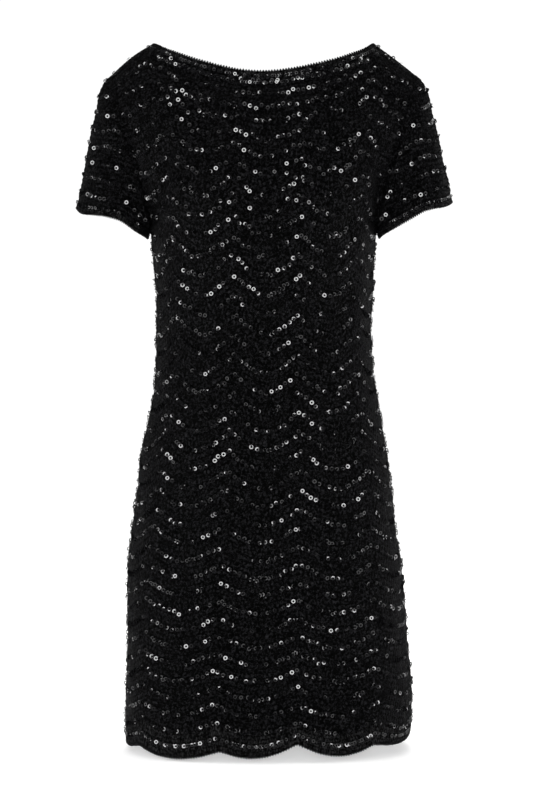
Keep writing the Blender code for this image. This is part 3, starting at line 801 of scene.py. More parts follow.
def sleeve_soft(base, normals, at, armhole_z):
    """The sleeve's own soft relief: full over the shoulder, and swelling beside the armhole's seam. at is the way from
    the armhole, and armhole_z the height there."""
    x, y, z = base[..., 0], base[..., 1], base[..., 2]
    head = ease(-0.150, -0.075, armhole_z) * 0.0026 * np.sin(np.pi * np.clip(at / 0.050, 0, 1)) ** 1.2
    tuck = ease(-0.240, -0.215, armhole_z) * ease(-0.095, -0.135, armhole_z) * 0.0032 * np.exp(-(((at - 0.009) / 0.0055) ** 2))
    return base + normals * (head + tuck + 0.0008 * wander(x, y, z, 0.06, 11) * ease(0, 0.02, at))[..., None]


def make_sleeve(which):
    front_shares, back_shares = sleeve_ring(which)
    lines = both(which, front_shares, back_shares)
    n = len(lines.start)
    fine = np.linspace(0, 1, 161)
    dense = sleeve_point(lines, np.broadcast_to(fine, (n, len(fine))))
    length = np.concatenate([np.zeros((n, 1)), np.cumsum(np.linalg.norm(np.diff(dense, axis=1), axis=2), axis=1)], axis=1)
    whole = length[:, -1:]
    joint = np.minimum(CUFF_REACH, whole * 0.45)
    at = np.linspace(0, 1, SLEEVE_MESH_ROWS)[None, :] * (whole - joint)
    s = np.stack([np.interp(at[i], length[i], fine) for i in range(n)])
    base = sleeve_point(lines, s)
    centre = sleeve_centre(which)
    normals = sleeve_normals(base, which)
    up = whole - at  # distance from the free edge
    soft = sleeve_soft(base, normals, at, lines.start[:, 2:])
    row = (up - SLEEVE_FIRST) / SLEEVE_PITCH
    post = np.broadcast_to((np.arange(n) / 2)[:, None], row.shape)
    edge = ease(0, 0.008, at)
    outer = soft + normals * crochet(row, post, 0.35 + 0.65 * edge)[..., None]
    obj = shell("cloth_sleeve_" + which, outer, normals, True, np.stack([post, row], -1), YARN)
    return obj, lines, s


def sleeve_normals(points, which):
    normals = grid_normals(points, True, sleeve_centre(which))
    return normals


sleeves = {which: make_sleeve(which) for which in ("left", "right")}


# ---------------------------------------------------------------- edgings
def ring_lengths(ring):
    steps = np.linalg.norm(np.roll(ring, -1, 0) - ring, axis=1)
    return np.concatenate([[0.0], np.cumsum(steps)])


def resample(ring, count, also=()):
    """The ring with count even stations, and the other rings at the same places."""
    length = ring_lengths(ring)
    at = np.arange(count) * length[-1] / count
    found = []
    for one in (ring, *also):
        looped = np.concatenate([one, one[:1]])
        found.append(np.stack([np.interp(at, length, looped[:, k]) for k in range(3)], -1))
    return found


def edging(name, joint, free, centre, picots, rows, ridges, reach, material=None, thickness=0.0021):
    """A band from the joint ring to the free ring. rows are shares of the way, ridges the number of fine ridges."""
    per = 4
    n = picots * per
    grid = joint[:, None, :] * (1 - rows[None, :, None]) + free[:, None, :] * rows[None, :, None]
    normals = grid_normals(grid, True, centre)
    outward = unit(free - joint)
    station = np.arange(n)
    bead = (0.5 - 0.5 * np.cos(2 * np.pi * station / per)) ** 0.8
    last = ease(0.62, 1.0, rows)
    wobble = 1 + 0.25 * (hashed(np.floor(station / per), np.zeros(n)) - 0.5)
    grid = grid + outward[:, None, :] * (reach * (bead * wobble - 0.25)[:, None] * last[None, :])[..., None]
    relief = 0.00055 * (0.5 + 0.5 * np.cos(2 * np.pi * ridges * rows))[None, :] + 0.0011 * (bead - 0.5)[:, None] * last[None, :]
    relief = relief + 0.00030 * np.cos(2 * np.pi * station / per)[:, None] * (1 - last)[None, :]
    outer = grid + normals * relief[..., None]
    inner = grid - normals * (thickness - 0.0003 + 0.0004 * (bead - 0.5)[:, None] * last[None, :])[..., None]
    # The free edge is rounded: its last row is drawn half way between the two faces.
    m = len(rows)
    tip = (outer[:, -1] + inner[:, -1]) / 2 + outward * (0.0005 + 0.0004 * bead)[:, None]
    loop = np.concatenate([outer, tip[:, None, :], inner[:, ::-1]], axis=1)
    k = loop.shape[1]
    index = np.arange(n * k).reshape(n, k)
    nxt = np.roll(index, -1, 0)
    faces = np.stack([index, nxt, np.roll(nxt, -1, 1), np.roll(index, -1, 1)], -1).reshape(-1, 4)
    one, two = loop[0, 1] - loop[0, 0], loop[1, 0] - loop[0, 0]
    if np.cross(two, one) @ normals[0, 0] < 0:
        faces = faces[:, ::-1]
    obj = mesh_object(name, loop.reshape(-1, 3), [faces], material or EDGING)
    rows_out = np.concatenate([rows, [1.05], rows[::-1]]) * ridges
    stitch = np.stack(np.broadcast_arrays((station / per + 0.5)[:, None], rows_out[None, :]), -1)
    corner_values(obj.data, stitch.reshape(-1, 2), "stitch")
    return obj


def neck_rings(count):
    corner_x = NECK_HALF + EDGING_REACH * 0.8
    corner = math.asin((corner_x / SHOULDER_POINT_X) ** (YOKE_SQUARE / 2))
    fine = corner * np.sin(np.pi * (np.linspace(0, 1, 601) - 0.5))
    joints, frees = [], []
    for side in ("front", "back"):
        joint = yoke_point(side, fine, np.ones_like(fine))
        x = joint[:, 0] * NECK_HALF / corner_x
        z = read(NECK, x, side)
        free = np.stack([x, facing(side) * yoke_depth(side, x, z), z], -1)
        if side == "back":
            joint, free = joint[::-1][1:-1], free[::-1][1:-1]
        joints.append(joint)
        frees.append(free)
    return resample(np.concatenate(frees), count, [np.concatenate(joints)])


NECK_PICOTS = 200
neck_free, neck_joint = neck_rings(NECK_PICOTS * 4)
neck_edging = edging(
    "neck_picot_edging", neck_joint, neck_free, np.array((0.0, 0.0, -0.2)), NECK_PICOTS,
    np.array((0.0, 0.22, 0.44, 0.62, 0.80, 0.93, 1.0)), 2.4, 0.0024,
)


def cuff_rings(which, count):
    fine = np.linspace(0, 1, 601)
    lines = both(which, fine, fine)
    n = len(lines.start)
    t = np.linspace(0, 1, 161)
    dense = sleeve_point(lines, np.broadcast_to(t, (n, len(t))))
    length = np.concatenate([np.zeros((n, 1)), np.cumsum(np.linalg.norm(np.diff(dense, axis=1), axis=2), axis=1)], axis=1)
    whole = length[:, -1]
    joint_at = whole - np.minimum(CUFF_REACH, whole * 0.45)
    s = np.array([np.interp(joint_at[i], length[i], t) for i in range(n)])
    joint = sleeve_point(lines, s[:, None])[:, 0]
    return resample(lines.end, count, [joint])


CUFF_PICOTS = 124
cuffs = {}
for which in ("left", "right"):
    cuff_free, cuff_joint = cuff_rings(which, CUFF_PICOTS * 4)
    cuffs[which] = edging(
        "cuff_picot_edging_" + which, cuff_joint, cuff_free, np.array((0.19 if which == "left" else -0.19, 0.0, -0.23)),
        CUFF_PICOTS, np.array((0.0, 0.22, 0.44, 0.62, 0.80, 0.93, 1.0)), 2.4, 0.0020,
    )


def hem_height(share):
    """Height of the scalloped edge, share of the way round from the middle trough."""
    round_it = (share + 0.5) % 1.0 - 0.5
    drawn = np.interp(round_it, (-0.27, -0.1575, -0.0435, 0.05, 0.15, 0.25), (0.0, -0.075, 0.065, 0.0, -0.02, 0.0))
    place = (share * SCALLOPS + 0.5 - drawn) % SCALLOPS
    i = place.astype(int) % SCALLOPS
    notch = np.array([row.notch for row in SCALLOP_TABLE])
    drop = np.array([row.drop for row in SCALLOP_TABLE])
    t = place - np.floor(place)
    round_off = (np.sqrt(np.sin(np.pi * t) ** 2 + 0.03) - 0.03**0.5) / (1.03**0.5 - 0.03**0.5)
    return notch[i] * (1 - t) + notch[(i + 1) % SCALLOPS] * t - drop[i] * round_off**0.8


def hem_ring(share, height):
    """Points round the body at one height for each share of its length."""
    fine = np.linspace(-math.pi / 2, math.pi / 2, 721)
    shape = np.broadcast(share, height).shape
    share, height = np.broadcast_to(share, shape).ravel(), np.broadcast_to(height, shape).ravel()
    levels = np.linspace(height.min() - 1e-4, height.max() + 1e-4, 12)
    found = []
    for level in levels:
        front = level_point("front", fine, np.full_like(fine, level))
        back = level_point("back", fine, np.full_like(fine, level))[::-1][1:-1]
        ring = np.concatenate([front, back])
        looped = np.concatenate([ring, ring[:1]])
        length = ring_lengths(ring)
        start = np.interp(read(RIPPLES, level, "middle"), front[:, 0], length[: len(front)])
        at = (start + share * length[-1]) % length[-1]
        found.append(np.stack([np.interp(at, length, looped[:, k]) for k in range(3)], -1))
    found = np.array(found)
    v = (height - levels[0]) / (levels[1] - levels[0])
    j = np.clip(v.astype(int), 0, len(levels) - 2)
    b = (v - j)[:, None]
    i = np.arange(len(height))
    points = found[j, i] * (1 - b) + found[j + 1, i] * b
    return points.reshape(*shape, 3)


HEM_PICOTS = 312
HEM_ROWS = np.array((0.0, 0.09, 0.18, 0.27, 0.36, 0.45, 0.54, 0.63, 0.72, 0.81, 0.89, 0.95, 1.0))


def hem_place(share, down):
    """A point of the hem edging: down is 0 at the joint and 1 at the scallops."""
    joint = HEM_JOINT_Z + 0.0016 + ripple(share * SCALLOPS, np.full_like(share, HEM_JOINT_Z))
    height = joint * (1 - down) + hem_height(share) * down
    return hem_ring(share, height)


def hem_edging():
    n = HEM_PICOTS * 4
    share = np.arange(n) / n
    down = np.broadcast_to(HEM_ROWS[None, :], (n, len(HEM_ROWS)))
    grid = hem_place(np.broadcast_to(share[:, None], down.shape), down)
    joint, free = grid[:, 0], grid[:, -1]
    per = 4
    normals = grid_normals(grid, True, np.array((0.006, 0.0, -0.88)))
    station = np.arange(n)
    bead = (0.5 - 0.5 * np.cos(2 * np.pi * station / per)) ** 0.8
    wobble = 1 + 0.3 * (hashed(np.floor(station / per), np.ones(n)) - 0.5)
    last = ease(0.86, 1.0, HEM_ROWS)
    wave, level, inner_post = (share * SCALLOPS)[:, None] + 0 * down, np.full(down.shape, -0.88), np.full(down.shape, 20.0)
    swell = np.where(
        grid[..., 1] < 0, body_swell("front", grid, wave, level, inner_post), body_swell("back", grid, wave, level, inner_post)
    )
    grid = grid + normals * swell[..., None] * ease(1.0, 0.0, HEM_ROWS)[None, :, None]
    grid = grid + np.array((0.0, 0.0, -1.0)) * (0.0024 * (bead * wobble - 0.45)[:, None] * last[None, :])[..., None]
    ridges = 0.00065 * (0.5 + 0.5 * np.cos(2 * np.pi * 6 * HEM_ROWS))
    relief = ridges[None, :] * (1 - 0.5 * last)[None, :] + 0.0010 * (bead - 0.5)[:, None] * last[None, :]
    relief = relief + 0.00034 * np.cos(2 * np.pi * station / per)[:, None] * (1 - last)[None, :]
    outer = grid + normals * relief[..., None]
    inner = (grid - normals * 0.0017)[:, ::-1][:, [0, 1, 3, 6, 9, 12]]
    tip = (outer[:, -1] + inner[:, 0]) / 2 + np.array((0, 0, -1.0)) * (0.0004 + 0.0003 * bead)[:, None]
    loop = np.concatenate([outer, tip[:, None, :], inner], axis=1)
    k = loop.shape[1]
    index = np.arange(n * k).reshape(n, k)
    nxt = np.roll(index, -1, 0)
    faces = np.stack([index, nxt, np.roll(nxt, -1, 1), np.roll(index, -1, 1)], -1).reshape(-1, 4)
    if np.cross(loop[1, 0] - loop[0, 0], loop[0, 1] - loop[0, 0]) @ normals[0, 0] < 0:
        faces = faces[:, ::-1]
    obj = mesh_object("hem_scallop_edging", loop.reshape(-1, 3), [faces], EDGING)
    rows_out = np.concatenate([HEM_ROWS, [1.03], HEM_ROWS[::-1][[0, 1, 3, 6, 9, 12]]]) * 6
    stitch = np.stack(np.broadcast_arrays((station / per + 0.5)[:, None], rows_out[None, :]), -1)
    corner_values(obj.data, stitch.reshape(-1, 2), "stitch")
    return obj


hem = hem_edging()


# ---------------------------------------------------------------- ring sequins
RING = 0.00268  # outer radius
HOLE = 0.00130
CORNERS = 10
FLAT_STEP = 0.0068  # spacing where the sequins lie flat
STOOD_STEP = 0.0036  # spacing where they stand on edge, side by side
SEQUIN_LIFT = 0.0012

# A sequin is a flat ring with a thin keel behind it: hole's edge, outer edge and keel.
_angles = np.arange(CORNERS) * 2 * math.pi / CORNERS
_circle = np.stack([np.cos(_angles), np.sin(_angles), np.zeros(CORNERS)], -1)
RING_POINTS = np.concatenate([
    _circle * HOLE,
    _circle * RING,
    _circle * (HOLE * 0.45 + RING * 0.55) + np.array((0, 0, -0.00034)),
])
_i = np.arange(CORNERS)
_j = (_i + 1) % CORNERS
RING_FACES = np.concatenate([
    np.stack([_i, _i + CORNERS, _j + CORNERS, _j], -1),
    np.stack([_i + CORNERS, _i + 2 * CORNERS, _j + 2 * CORNERS, _j + CORNERS], -1),
    np.stack([_i + 2 * CORNERS, _i, _j, _j + 2 * CORNERS], -1),
])

Spots = namedtuple("Spots", "place normal along stood flash")


class Trim:
    """Collects sequins for one joined mesh."""

    def __init__(self):
        self.rows = []

    def add(self, spots):
        if spots is not None and len(spots.place):
            self.rows.append(spots)

    def joined(self):
        return Spots(*(np.concatenate(parts) for parts in zip(*self.rows)))


def walk(points, normals, standing, rng, flat_step=FLAT_STEP, stood_step=STOOD_STEP, start=0.0):
    """Places along a line of points. standing is the chance at each point that a sequin there stands on edge."""
    steps = np.linalg.norm(np.diff(points, axis=0), axis=1)
    length = np.concatenate([[0.0], np.cumsum(steps)])
    at, places, stood = start, [], []
    up = False
    while at < length[-1]:
        chance = float(np.interp(at, length, standing))
        if rng.random() < 0.45:
            up = rng.random() < chance
        places.append(at)
        stood.append(up)
        gap = rng.uniform(0.86, 1.20) + (rng.uniform(0.3, 1.1) if rng.random() < 0.12 else 0.0)
        at += (stood_step if up else flat_step) * gap
    if len(places) < 2:
        return None
    places = np.array(places)
    place = np.stack([np.interp(places, length, points[:, k]) for k in range(3)], -1)
    normal = unit(np.stack([np.interp(places, length, normals[:, k]) for k in range(3)], -1))
    ahead = np.stack([np.interp(places + 0.002, length, points[:, k]) for k in range(3)], -1)
    behind = np.stack([np.interp(places - 0.002, length, points[:, k]) for k in range(3)], -1)
    along = unit(ahead - behind)
    return place, normal, along, np.array(stood, float)


def glint_chance(side, place):
    """How likely a sequin is to have settled facing forward."""
    total = np.zeros(len(place))
    for glint in GLINTS:
        if glint.side != side:
            continue
        dz = place[:, 2] - glint.z
        dx = place[:, 0] - glint.x - glint.lean * dz * (-1)
        total = np.maximum(total, np.exp(-0.5 * ((dx / glint.wide / 1.25) ** 2 + (dz / glint.tall / 1.1) ** 2)))
    return total


def turned(vectors, axes, angles):
    """Vectors turned about unit axes."""
    c, s = np.cos(angles)[:, None], np.sin(angles)[:, None]
    return vectors * c + np.cross(axes, vectors) * s + axes * np.sum(axes * vectors, -1, keepdims=True) * (1 - c)


def ring_mesh(name, spots, rng, size=1.0, forward=None, fallen=(0.36, 1.05), upright=0.0, most=0.62):
    """Joins a ring for each spot. Flat ones tip at random, or face forward where they glint; others stand on edge."""
    count = len(spots.place)
    across_row = unit(np.cross(spots.normal, spots.along))
    tip = rng.normal(0, 0.36, count)
    swing = rng.normal(0, 0.40, count)
    wide = rng.random(count) < 0.35
    tip = np.where(wide, rng.uniform(-0.9, 0.9, count), tip)
    swing = np.where(wide, rng.uniform(-1.2, 1.2, count), swing)
    p = spots.place
    fall = np.where(np.sin(p[:, 0] * 71 + np.sin(p[:, 2] * 83) * 2.2 + p[:, 1] * 57) > 0, 1.0, -1.0)
    swing = np.where(spots.stood > 0.5, fall * rng.uniform(*fallen, count), swing)
    tip = np.where(spots.stood > 0.5, rng.normal(0, 0.20, count), tip)
    hung = spots.normal * (1 - np.array((0.0, 0.0, upright)) * spots.stood[:, None])
    normal = turned(unit(hung), unit(spots.along), tip)
    normal = turned(normal, across_row, swing)
    if forward is not None:
        # A glinting sequin faces forward, as far as it can tip from its cloth.
        aim = unit(forward - spots.place * np.array((1.0, 1.0, 1.0)))
        spread = np.where(rng.random(count) < 0.25, 0.090, 0.034)
        aim = unit(aim + rng.normal(0, 1.0, (count, 3)) * spread[:, None])
        away = np.arccos(np.clip(np.sum(aim * spots.normal, -1), -1, 1))
        axis = unit(np.cross(spots.normal, aim))
        near = turned(spots.normal, axis, np.minimum(away, most))
        shines = (spots.flash > 0.5) & (away < most + 0.12)
        normal = np.where(shines[:, None], near, normal)
        spots = spots._replace(flash=shines.astype(float))
    lean = np.sqrt(np.maximum(1 - np.sum(normal * spots.normal, -1) ** 2, 0))
    sunk = rng.uniform(0.0, 1.0, count) ** 2 * np.where(spots.flash > 0.5, 0.0002, 0.0008)
    middle = spots.place + spots.normal * (SEQUIN_LIFT + (0.0014 * spots.flash - 0.0003) * lean - sunk)[:, None]
    side = unit(np.cross(normal, np.array((0.31, 0.52, 0.79))))
    spin = rng.uniform(0, 2 * math.pi, count)
    side = turned(side, normal, spin)
    other = np.cross(normal, side)
    scale = size * rng.uniform(0.94, 1.05, count)
    cup = rng.uniform(0.0, 0.00022, count)
    local = RING_POINTS
    points = (
        middle[:, None, :]
        + (side * scale[:, None])[:, None, :] * local[None, :, 0:1]
        + (other * scale[:, None])[:, None, :] * local[None, :, 1:2]
        + (normal * scale[:, None])[:, None, :] * local[None, :, 2:3]
    )
    lip = np.zeros(len(local))
    lip[CORNERS : 2 * CORNERS] = 1.0
    points = points + normal[:, None, :] * (cup[:, None] * lip[None, :])[..., None]
    faces = RING_FACES[None, :, :] + (np.arange(count) * len(local))[:, None, None]
    obj = mesh_object(name, points.reshape(-1, 3), [faces.reshape(-1, 4)], SEQUIN, smooth=False)
    return obj


def patches(place, rng, base, most):
    """Which sequins of an edge's row shine: in stretches along it."""
    x, y, z = place[:, 0], place[:, 1], place[:, 2]
    stretch = ease(-0.25, 0.75, wander(x, y, z, 0.07, 21))
    return (rng.random(len(place)) < base + most * stretch).astype(float)


def flashes(side, place, stood, rng, base):
    chance = base + 0.85 * glint_chance(side, place)
    return ((rng.random(len(place)) < chance) & (stood < 0.5)).astype(float)


def panel_sequins(side, seed):
    """Rows of sequins on the front or the back, split into an upper and a lower mesh."""
    rng = np.random.default_rng(seed)
    upper, lower = Trim(), Trim()
    theta = np.linspace(COLUMN_ANGLES[0], COLUMN_ANGLES[-1], 1501)
    last = int(TOP_ROW - 0.3)
    # Over the shoulders the cloth turns back, and further rows cross it there.
    fine = np.linspace(last, TOP_ROW, 200)
    crossing = panel_surface(side, np.full_like(fine, 1.15), fine)[0]
    run = np.concatenate([[0.0], np.cumsum(np.linalg.norm(np.diff(crossing, axis=0), axis=1))])
    further = [float(np.interp(at, run, fine)) for at in np.arange(0.019, run[-1] - 0.004, 0.019)]
    for row in [*range(1, last + 1), *further]:
        nearby = np.minimum(np.array((row - 0.05, row, row + 0.05)), TOP_ROW + np.array((-0.002, -0.001, 0.0)))
        grid_theta, grid_row = np.broadcast_arrays(theta[:, None], nearby[None, :])
        base, turns, height = panel_surface(side, grid_theta, grid_row)
        normals = grid_normals(base, False, CENTRE)
        post = np.interp(grid_theta, COLUMN_ANGLES, COLUMN_POSTS)
        soft = base + normals * body_swell(side, base, turns, height, post)[..., None]
        normals = grid_normals(soft, False, CENTRE)[:, 1]
        line = soft[:, 1] + normals * 0.0006
        trough = 0.5 + 0.5 * np.cos(2 * np.pi * turns[:, 1])
        standing = 0.10 + 0.62 * trough**1.6
        standing = standing * ease(0.0, 3.0, TOP_ROW - grid_row[:, 1]) + 0.15
        found = walk(line, normals, standing, rng, start=rng.uniform(0.002, 0.007))
        if found is None:
            continue
        place, normal, along, stood = found
        keep = rng.random(len(place)) > 0.05
        if row > last:
            keep &= (np.abs(place[:, 0]) > 0.118) & ((normal[:, 2] < 0.55) | (np.arange(len(place)) % 4 == 0))
        place, normal, along, stood = (part[keep] for part in (place, normal, along, stood))
        flash = flashes(side, place, stood, rng, 0.27)
        drift = rng.normal(0, 1.0, len(place)) * (0.0010 + 0.0015 * ease(-0.34, -0.22, place[:, 2]))
        place = place + np.cross(normal, along) * drift[:, None]
        (lower if row <= 17 else upper).add(Spots(place, normal, along, stood, flash))
    ahead = np.array((-0.12, facing(side) * 2.7, -0.20))
    return [
        ring_mesh(f"ring_sequins_{side}_{part}", trim.joined(), rng, forward=ahead)
        for part, trim in (("upper", upper), ("lower", lower))
    ]


def sleeve_sequins(which, seed):
    rng = np.random.default_rng(seed)
    trim = Trim()
    fine = np.linspace(0, 1, 700)
    lines = both(which, fine, fine)
    n = len(lines.start)
    t = np.linspace(0, 1, 161)
    dense = sleeve_point(lines, np.broadcast_to(t, (n, len(t))))
    length = np.concatenate([np.zeros((n, 1)), np.cumsum(np.linalg.norm(np.diff(dense, axis=1), axis=2), axis=1)], axis=1)
    whole = length[:, -1]
    perimeter = ring_lengths(lines.end)
    ahead = np.array((-0.12, -2.7, -0.20))
    for k in range(12):
        rise = SLEEVE_FIRST + SLEEVE_PITCH * k + 0.0022 * np.sin(perimeter[:-1] / perimeter[-1] * 2 * math.pi * 6 + k)
        fits = whole > rise + 0.006
        if not fits.any():
            break
        s = np.array([np.interp(whole[i] - rise[i], length[i], t) for i in range(n)])
        offs = np.stack([np.clip(s + d, 0, 1) for d in (-0.02, 0.0, 0.02)], -1)
        points = sleeve_point(lines, offs)
        at = (whole - rise)[:, None] + np.array((-0.02, 0.0, 0.02)) * whole[:, None]
        points = sleeve_soft(points, sleeve_normals(points, which), at, lines.start[:, 2:])
        normals = sleeve_normals(points, which)[:, 1]
        line = points[:, 1] + normals * 0.0006
        # Start from the underarm, where the row may be cut by the armhole.
        keep = np.nonzero(fits)[0]
        runs = np.split(keep, np.nonzero(np.diff(keep) > 1)[0] + 1)
        for run in runs:
            if len(run) < 8:
                continue
            standing = 0.22 + 0.25 * (0.5 + 0.5 * np.sin(perimeter[:-1][run] / 0.04 + k))
            found = walk(line[run], normals[run], standing, rng, start=rng.uniform(0.001, 0.006))
            if found is None:
                continue
            place, normal, along, stood = found
            flash = ((rng.random(len(place)) < 0.40 + 0.30 * ((place[:, 2] > -0.09) & (place[:, 0] > 0))) & (stood < 0.5)).astype(float)
            trim.add(Spots(place, normal, along, stood, flash))
    spots = trim.joined()
    aim = np.where((spots.place[:, 1] < 0)[:, None], ahead, ahead * np.array((1, -1, 1)))
    return ring_mesh(f"ring_sequins_sleeve_{which}", spots, rng, forward=aim, most=0.95)


def neck_sequins():
    """Two rows that follow the neck: one against the edging, and one below it."""
    rows = []
    corner_x = NECK_HALF + EDGING_REACH * 0.8
    corner = math.asin((corner_x / SHOULDER_POINT_X) ** (YOKE_SQUARE / 2))
    rng = np.random.default_rng(71)
    for down, standing, start_at in ((0.004, 0.90, 0.985), (0.052, 0.40, 0.97)):
        lines, norms = [], []
        for side in ("front", "back"):
            theta = np.linspace(-corner * start_at, corner * start_at, 1200)
            shares = np.array((1 - down - 0.01, 1 - down, 1 - down + 0.01))
            g_theta, g_share = np.broadcast_arrays(theta[:, None], shares[None, :])
            points = yoke_point(side, g_theta, np.minimum(g_share, 1.0))
            normal = grid_normals(points, False, CENTRE)[:, 1]
            line = points[:, 1] + normal * 0.0006
            found = walk(line, normal, np.full(len(line), standing), rng, flat_step=0.0060, stood_step=0.0035)
            place, nor, along, stood = found
            flash = patches(place, rng, 0.10, 0.55 if down < 0.02 else 0.12)
            rows.append(Spots(place, nor, along, stood, flash))
    spots = Spots(*(np.concatenate(p) for p in zip(*rows)))
    aim = np.where((spots.place[:, 1] < 0)[:, None], np.array((-0.12, -2.7, -0.20)), np.array((-0.12, 2.7, -0.20)))
    return ring_mesh("ring_sequins_neck", spots, rng, size=0.86, forward=aim, fallen=(0.38, 0.50), upright=0.8)


def hem_sequins():
    """The bright row along the scallops: on edge in the troughs, flat towards the notches."""
    rng = np.random.default_rng(72)
    share = np.linspace(0, 1, 4001)
    g_share, g_down = np.broadcast_arrays(share[:, None], np.array((0.48, 0.52, 0.56))[None, :])
    points = hem_place(g_share, g_down)
    normals = grid_normals(points, False, np.array((0.006, 0.0, -0.88)))[:, 1]
    line = points[:, 1] + normals * 0.0006
    trough = 0.5 + 0.5 * np.cos(2 * np.pi * share * SCALLOPS)
    standing = 0.10 + 0.88 * ease(0.30, 0.62, trough)
    place, normal, along, stood = walk(line, normals, standing, rng, flat_step=0.0064, stood_step=0.0034)
    flash = patches(place, rng, 0.15, 0.60)
    aim = np.where((place[:, 1] < 0)[:, None], np.array((-0.12, -2.7, -0.20)), np.array((-0.12, 2.7, -0.20)))
    return ring_mesh("ring_sequins_hem", Spots(place, normal, along, stood, flash), rng, size=0.95, forward=aim, fallen=(0.38, 0.50), upright=0.8)


def cuff_sequins(which):
    """The row against a sleeve's edging, mostly on edge."""
    rng = np.random.default_rng(73 if which == "left" else 74)
    fine = np.linspace(0, 1, 700)
    lines = both(which, fine, fine)
    n = len(lines.start)
    t = np.linspace(0, 1, 161)
    dense = sleeve_point(lines, np.broadcast_to(t, (n, len(t))))
    length = np.concatenate([np.zeros((n, 1)), np.cumsum(np.linalg.norm(np.diff(dense, axis=1), axis=2), axis=1)], axis=1)
    whole = length[:, -1]
    rise = np.minimum(CUFF_REACH * 1.18, whole * 0.55)
    s = np.array([np.interp(whole[i] - rise[i], length[i], t) for i in range(n)])
    offs = np.stack([np.clip(s + d, 0, 1) for d in (-0.02, 0.0, 0.02)], -1)
    points = sleeve_point(lines, offs)
    at = (whole - rise)[:, None] + np.array((-0.02, 0.0, 0.02)) * whole[:, None]
    points = sleeve_soft(points, sleeve_normals(points, which), at, lines.start[:, 2:])
    normals = sleeve_normals(points, which)[:, 1]
    line = points[:, 1] + normals * 0.0006
    place, normal, along, stood = walk(line, normals, np.full(n, 0.80), rng, flat_step=0.0062, stood_step=0.0035)
    flash = patches(place, rng, 0.12, 0.55)
    aim = np.where((place[:, 1] < 0)[:, None], np.array((-0.12, -2.7, -0.20)), np.array((-0.12, 2.7, -0.20)))
    return ring_mesh(f"ring_sequins_cuff_{which}", Spots(place, normal, along, stood, flash), rng, size=0.86, forward=aim, fallen=(0.38, 0.50), upright=0.8)


front_sequins = panel_sequins("front", 61)
back_sequins = panel_sequins("back", 62)
sleeve_rings = {"left": sleeve_sequins("left", 63), "right": sleeve_sequins("right", 64)}
neck_rings_piece = neck_sequins()
hem_rings_piece = hem_sequins()
cuff_rings_piece = {which: cuff_sequins(which) for which in ("left", "right")}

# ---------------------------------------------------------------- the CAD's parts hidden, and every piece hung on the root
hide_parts("front")
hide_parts("back")
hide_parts("sleeve_left")
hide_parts("sleeve_right")
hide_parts("neck_edging")
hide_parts("cuff_left")
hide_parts("cuff_right")
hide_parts("hem_edging")

cloth = [front_cloth, back_cloth, sleeves["left"][0], sleeves["right"][0]]
edges = [neck_edging, cuffs["left"], cuffs["right"], hem]
rings = [*front_sequins, *back_sequins, *sleeve_rings.values(), neck_rings_piece, hem_rings_piece, *cuff_rings_piece.values()]
for piece in cloth + edges + rings:
    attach(piece, "root")

Cut = namedtuple("Cut", "piece width length area held")

# ---------------------------------------------------------------- floor, light and camera
FLOOR_Z = -0.9130


def floor_material():
    material, tree, shader = new_material("pale_floor")
    where = node(tree, "TexCoord").outputs["Object"]
    soft = node(tree, "TexNoise", {"Vector": where, "Scale": 3.0, "Detail": 3.0})
    tint = node(tree, "Mix", {0: soft.outputs[0], 6: (0.93, 0.93, 0.93, 1.0), 7: (0.96, 0.96, 0.96, 1.0)}, data_type="RGBA")
    tree.links.new(tint.outputs[2], shader.inputs["Base Color"])
    shader.inputs["Roughness"].default_value = 0.9
    shader.inputs["Specular IOR Level"].default_value = 0.0
    # The floor glows evenly: painted light that keeps the shadow under the dress pale grey and lights the dress a
    # little from below.
    shader.inputs["Emission Color"].default_value = (1.0, 1.0, 1.0, 1.0)
    shader.inputs["Emission Strength"].default_value = 0.43
    return material


def floor():
    size = 12.0
    points = np.array([(-size, -size, FLOOR_Z), (size, -size, FLOOR_Z), (size, size, FLOOR_Z), (-size, size, FLOOR_Z)])
    obj = mesh_object("floor", points, [np.array([[0, 1, 2, 3]])], floor_material())


floor()


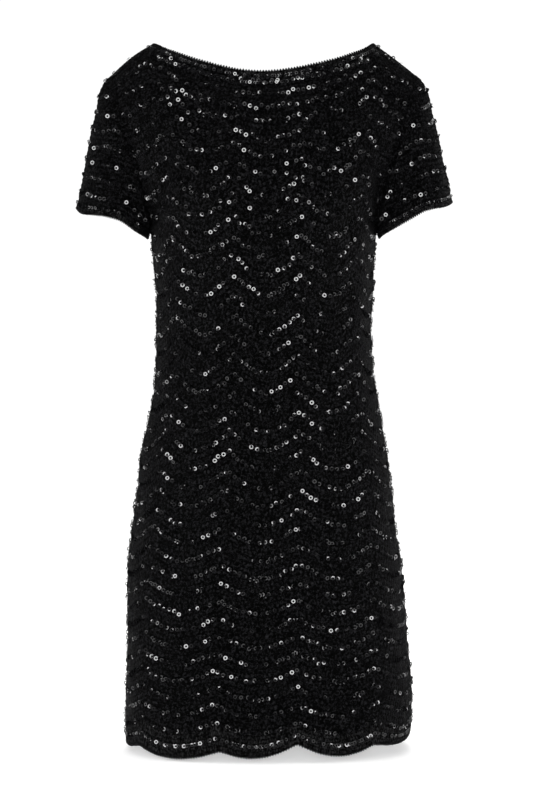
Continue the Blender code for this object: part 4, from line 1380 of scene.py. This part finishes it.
def studio():
    scene = bpy.context.scene
    world = bpy.data.worlds.new("studio")
    scene.world = world
    world.use_nodes = True
    tree = world.node_tree
    back = tree.nodes["Background"]
    seen = tree.nodes.new("ShaderNodeBackground")
    seen.inputs[0].default_value = (1.0, 1.0, 1.0, 1.0)
    seen.inputs[1].default_value = 1.05
    back.inputs[0].default_value = (1.0, 1.0, 1.0, 1.0)
    back.inputs[1].default_value = 0.13
    path = tree.nodes.new("ShaderNodeLightPath")
    mix = tree.nodes.new("ShaderNodeMixShader")
    out = tree.nodes["World Output"]
    tree.links.new(path.outputs["Is Camera Ray"], mix.inputs[0])
    tree.links.new(back.outputs[0], mix.inputs[1])
    tree.links.new(seen.outputs[0], mix.inputs[2])
    tree.links.new(mix.outputs[0], out.inputs[0])
    scene.view_settings.view_transform = "Standard"
    scene.view_settings.look = "None"
    scene.view_settings.exposure = 0.0
    scene.view_settings.gamma = 1.0

    def area(name, place, aim, wide, tall, radiance):
        data = bpy.data.lights.new(name, "AREA")
        data.shape = "RECTANGLE"
        data.size, data.size_y = wide, tall
        data.energy = math.pi * wide * tall * radiance
        obj = bpy.data.objects.new(name, data)
        scene.collection.objects.link(obj)
        obj.location = place
        obj.rotation_mode = "QUATERNION"
        obj.rotation_quaternion = (Vector(aim) - Vector(place)).to_track_quat("-Z", "Y")
        obj.visible_camera = False
        return obj

    middle = (0.0, 0.0, -0.45)
    area("key_front", (-0.24, -2.75, 0.05), middle, 0.62, 0.62, 18.0)
    area("key_back", (0.24, 2.75, 0.05), middle, 0.62, 0.62, 18.0)
    area("fill_front", (-0.10, -3.1, 0.15), middle, 2.6, 2.2, 0.34)
    area("fill_back", (0.10, 3.1, 0.15), middle, 2.6, 2.2, 0.34)
    for x in (-1, 1):
        area(f"side_{x}", (1.9 * x, 0.0, -0.35), middle, 0.9, 1.0, 6.0)
        for y, radiance in ((-1, 6.4), (1, 1.8 if x < 0 else 4.4)):
            strip = area(f"strip_{x}_{y}", (1.75 * x, 1.45 * y, -0.30), middle, 0.42, 1.8, radiance)
            strip.visible_diffuse = False
    # The narrower ceiling light leans a little from behind, so its shadow fades out in front of the hem.
    for name, energy, angle, lean in (("ceiling", 0.98, 70, 0.0), ("ceiling_soft", 0.85, 17, 6.0)):
        data = bpy.data.lights.new(name, "SUN")
        data.energy = energy
        data.angle = math.radians(angle)
        sun = bpy.data.objects.new(name, data)
        scene.collection.objects.link(sun)
        sun.location = (0, 0, 3)
        sun.rotation_euler = (-math.radians(lean), 0.0, 0.0)

    camera = bpy.data.cameras.new("camera")
    camera.sensor_width = 36.0
    camera.lens = 36.0 * 2.9 / (800 * 0.0013)
    camera.clip_start, camera.clip_end = 0.1, 60.0
    obj = bpy.data.objects.new("camera", camera)
    scene.collection.objects.link(obj)
    obj.location = (0.0039, -2.9, -0.4615)
    obj.rotation_euler = (math.pi / 2, 0, 0)
    scene.camera = obj


studio()
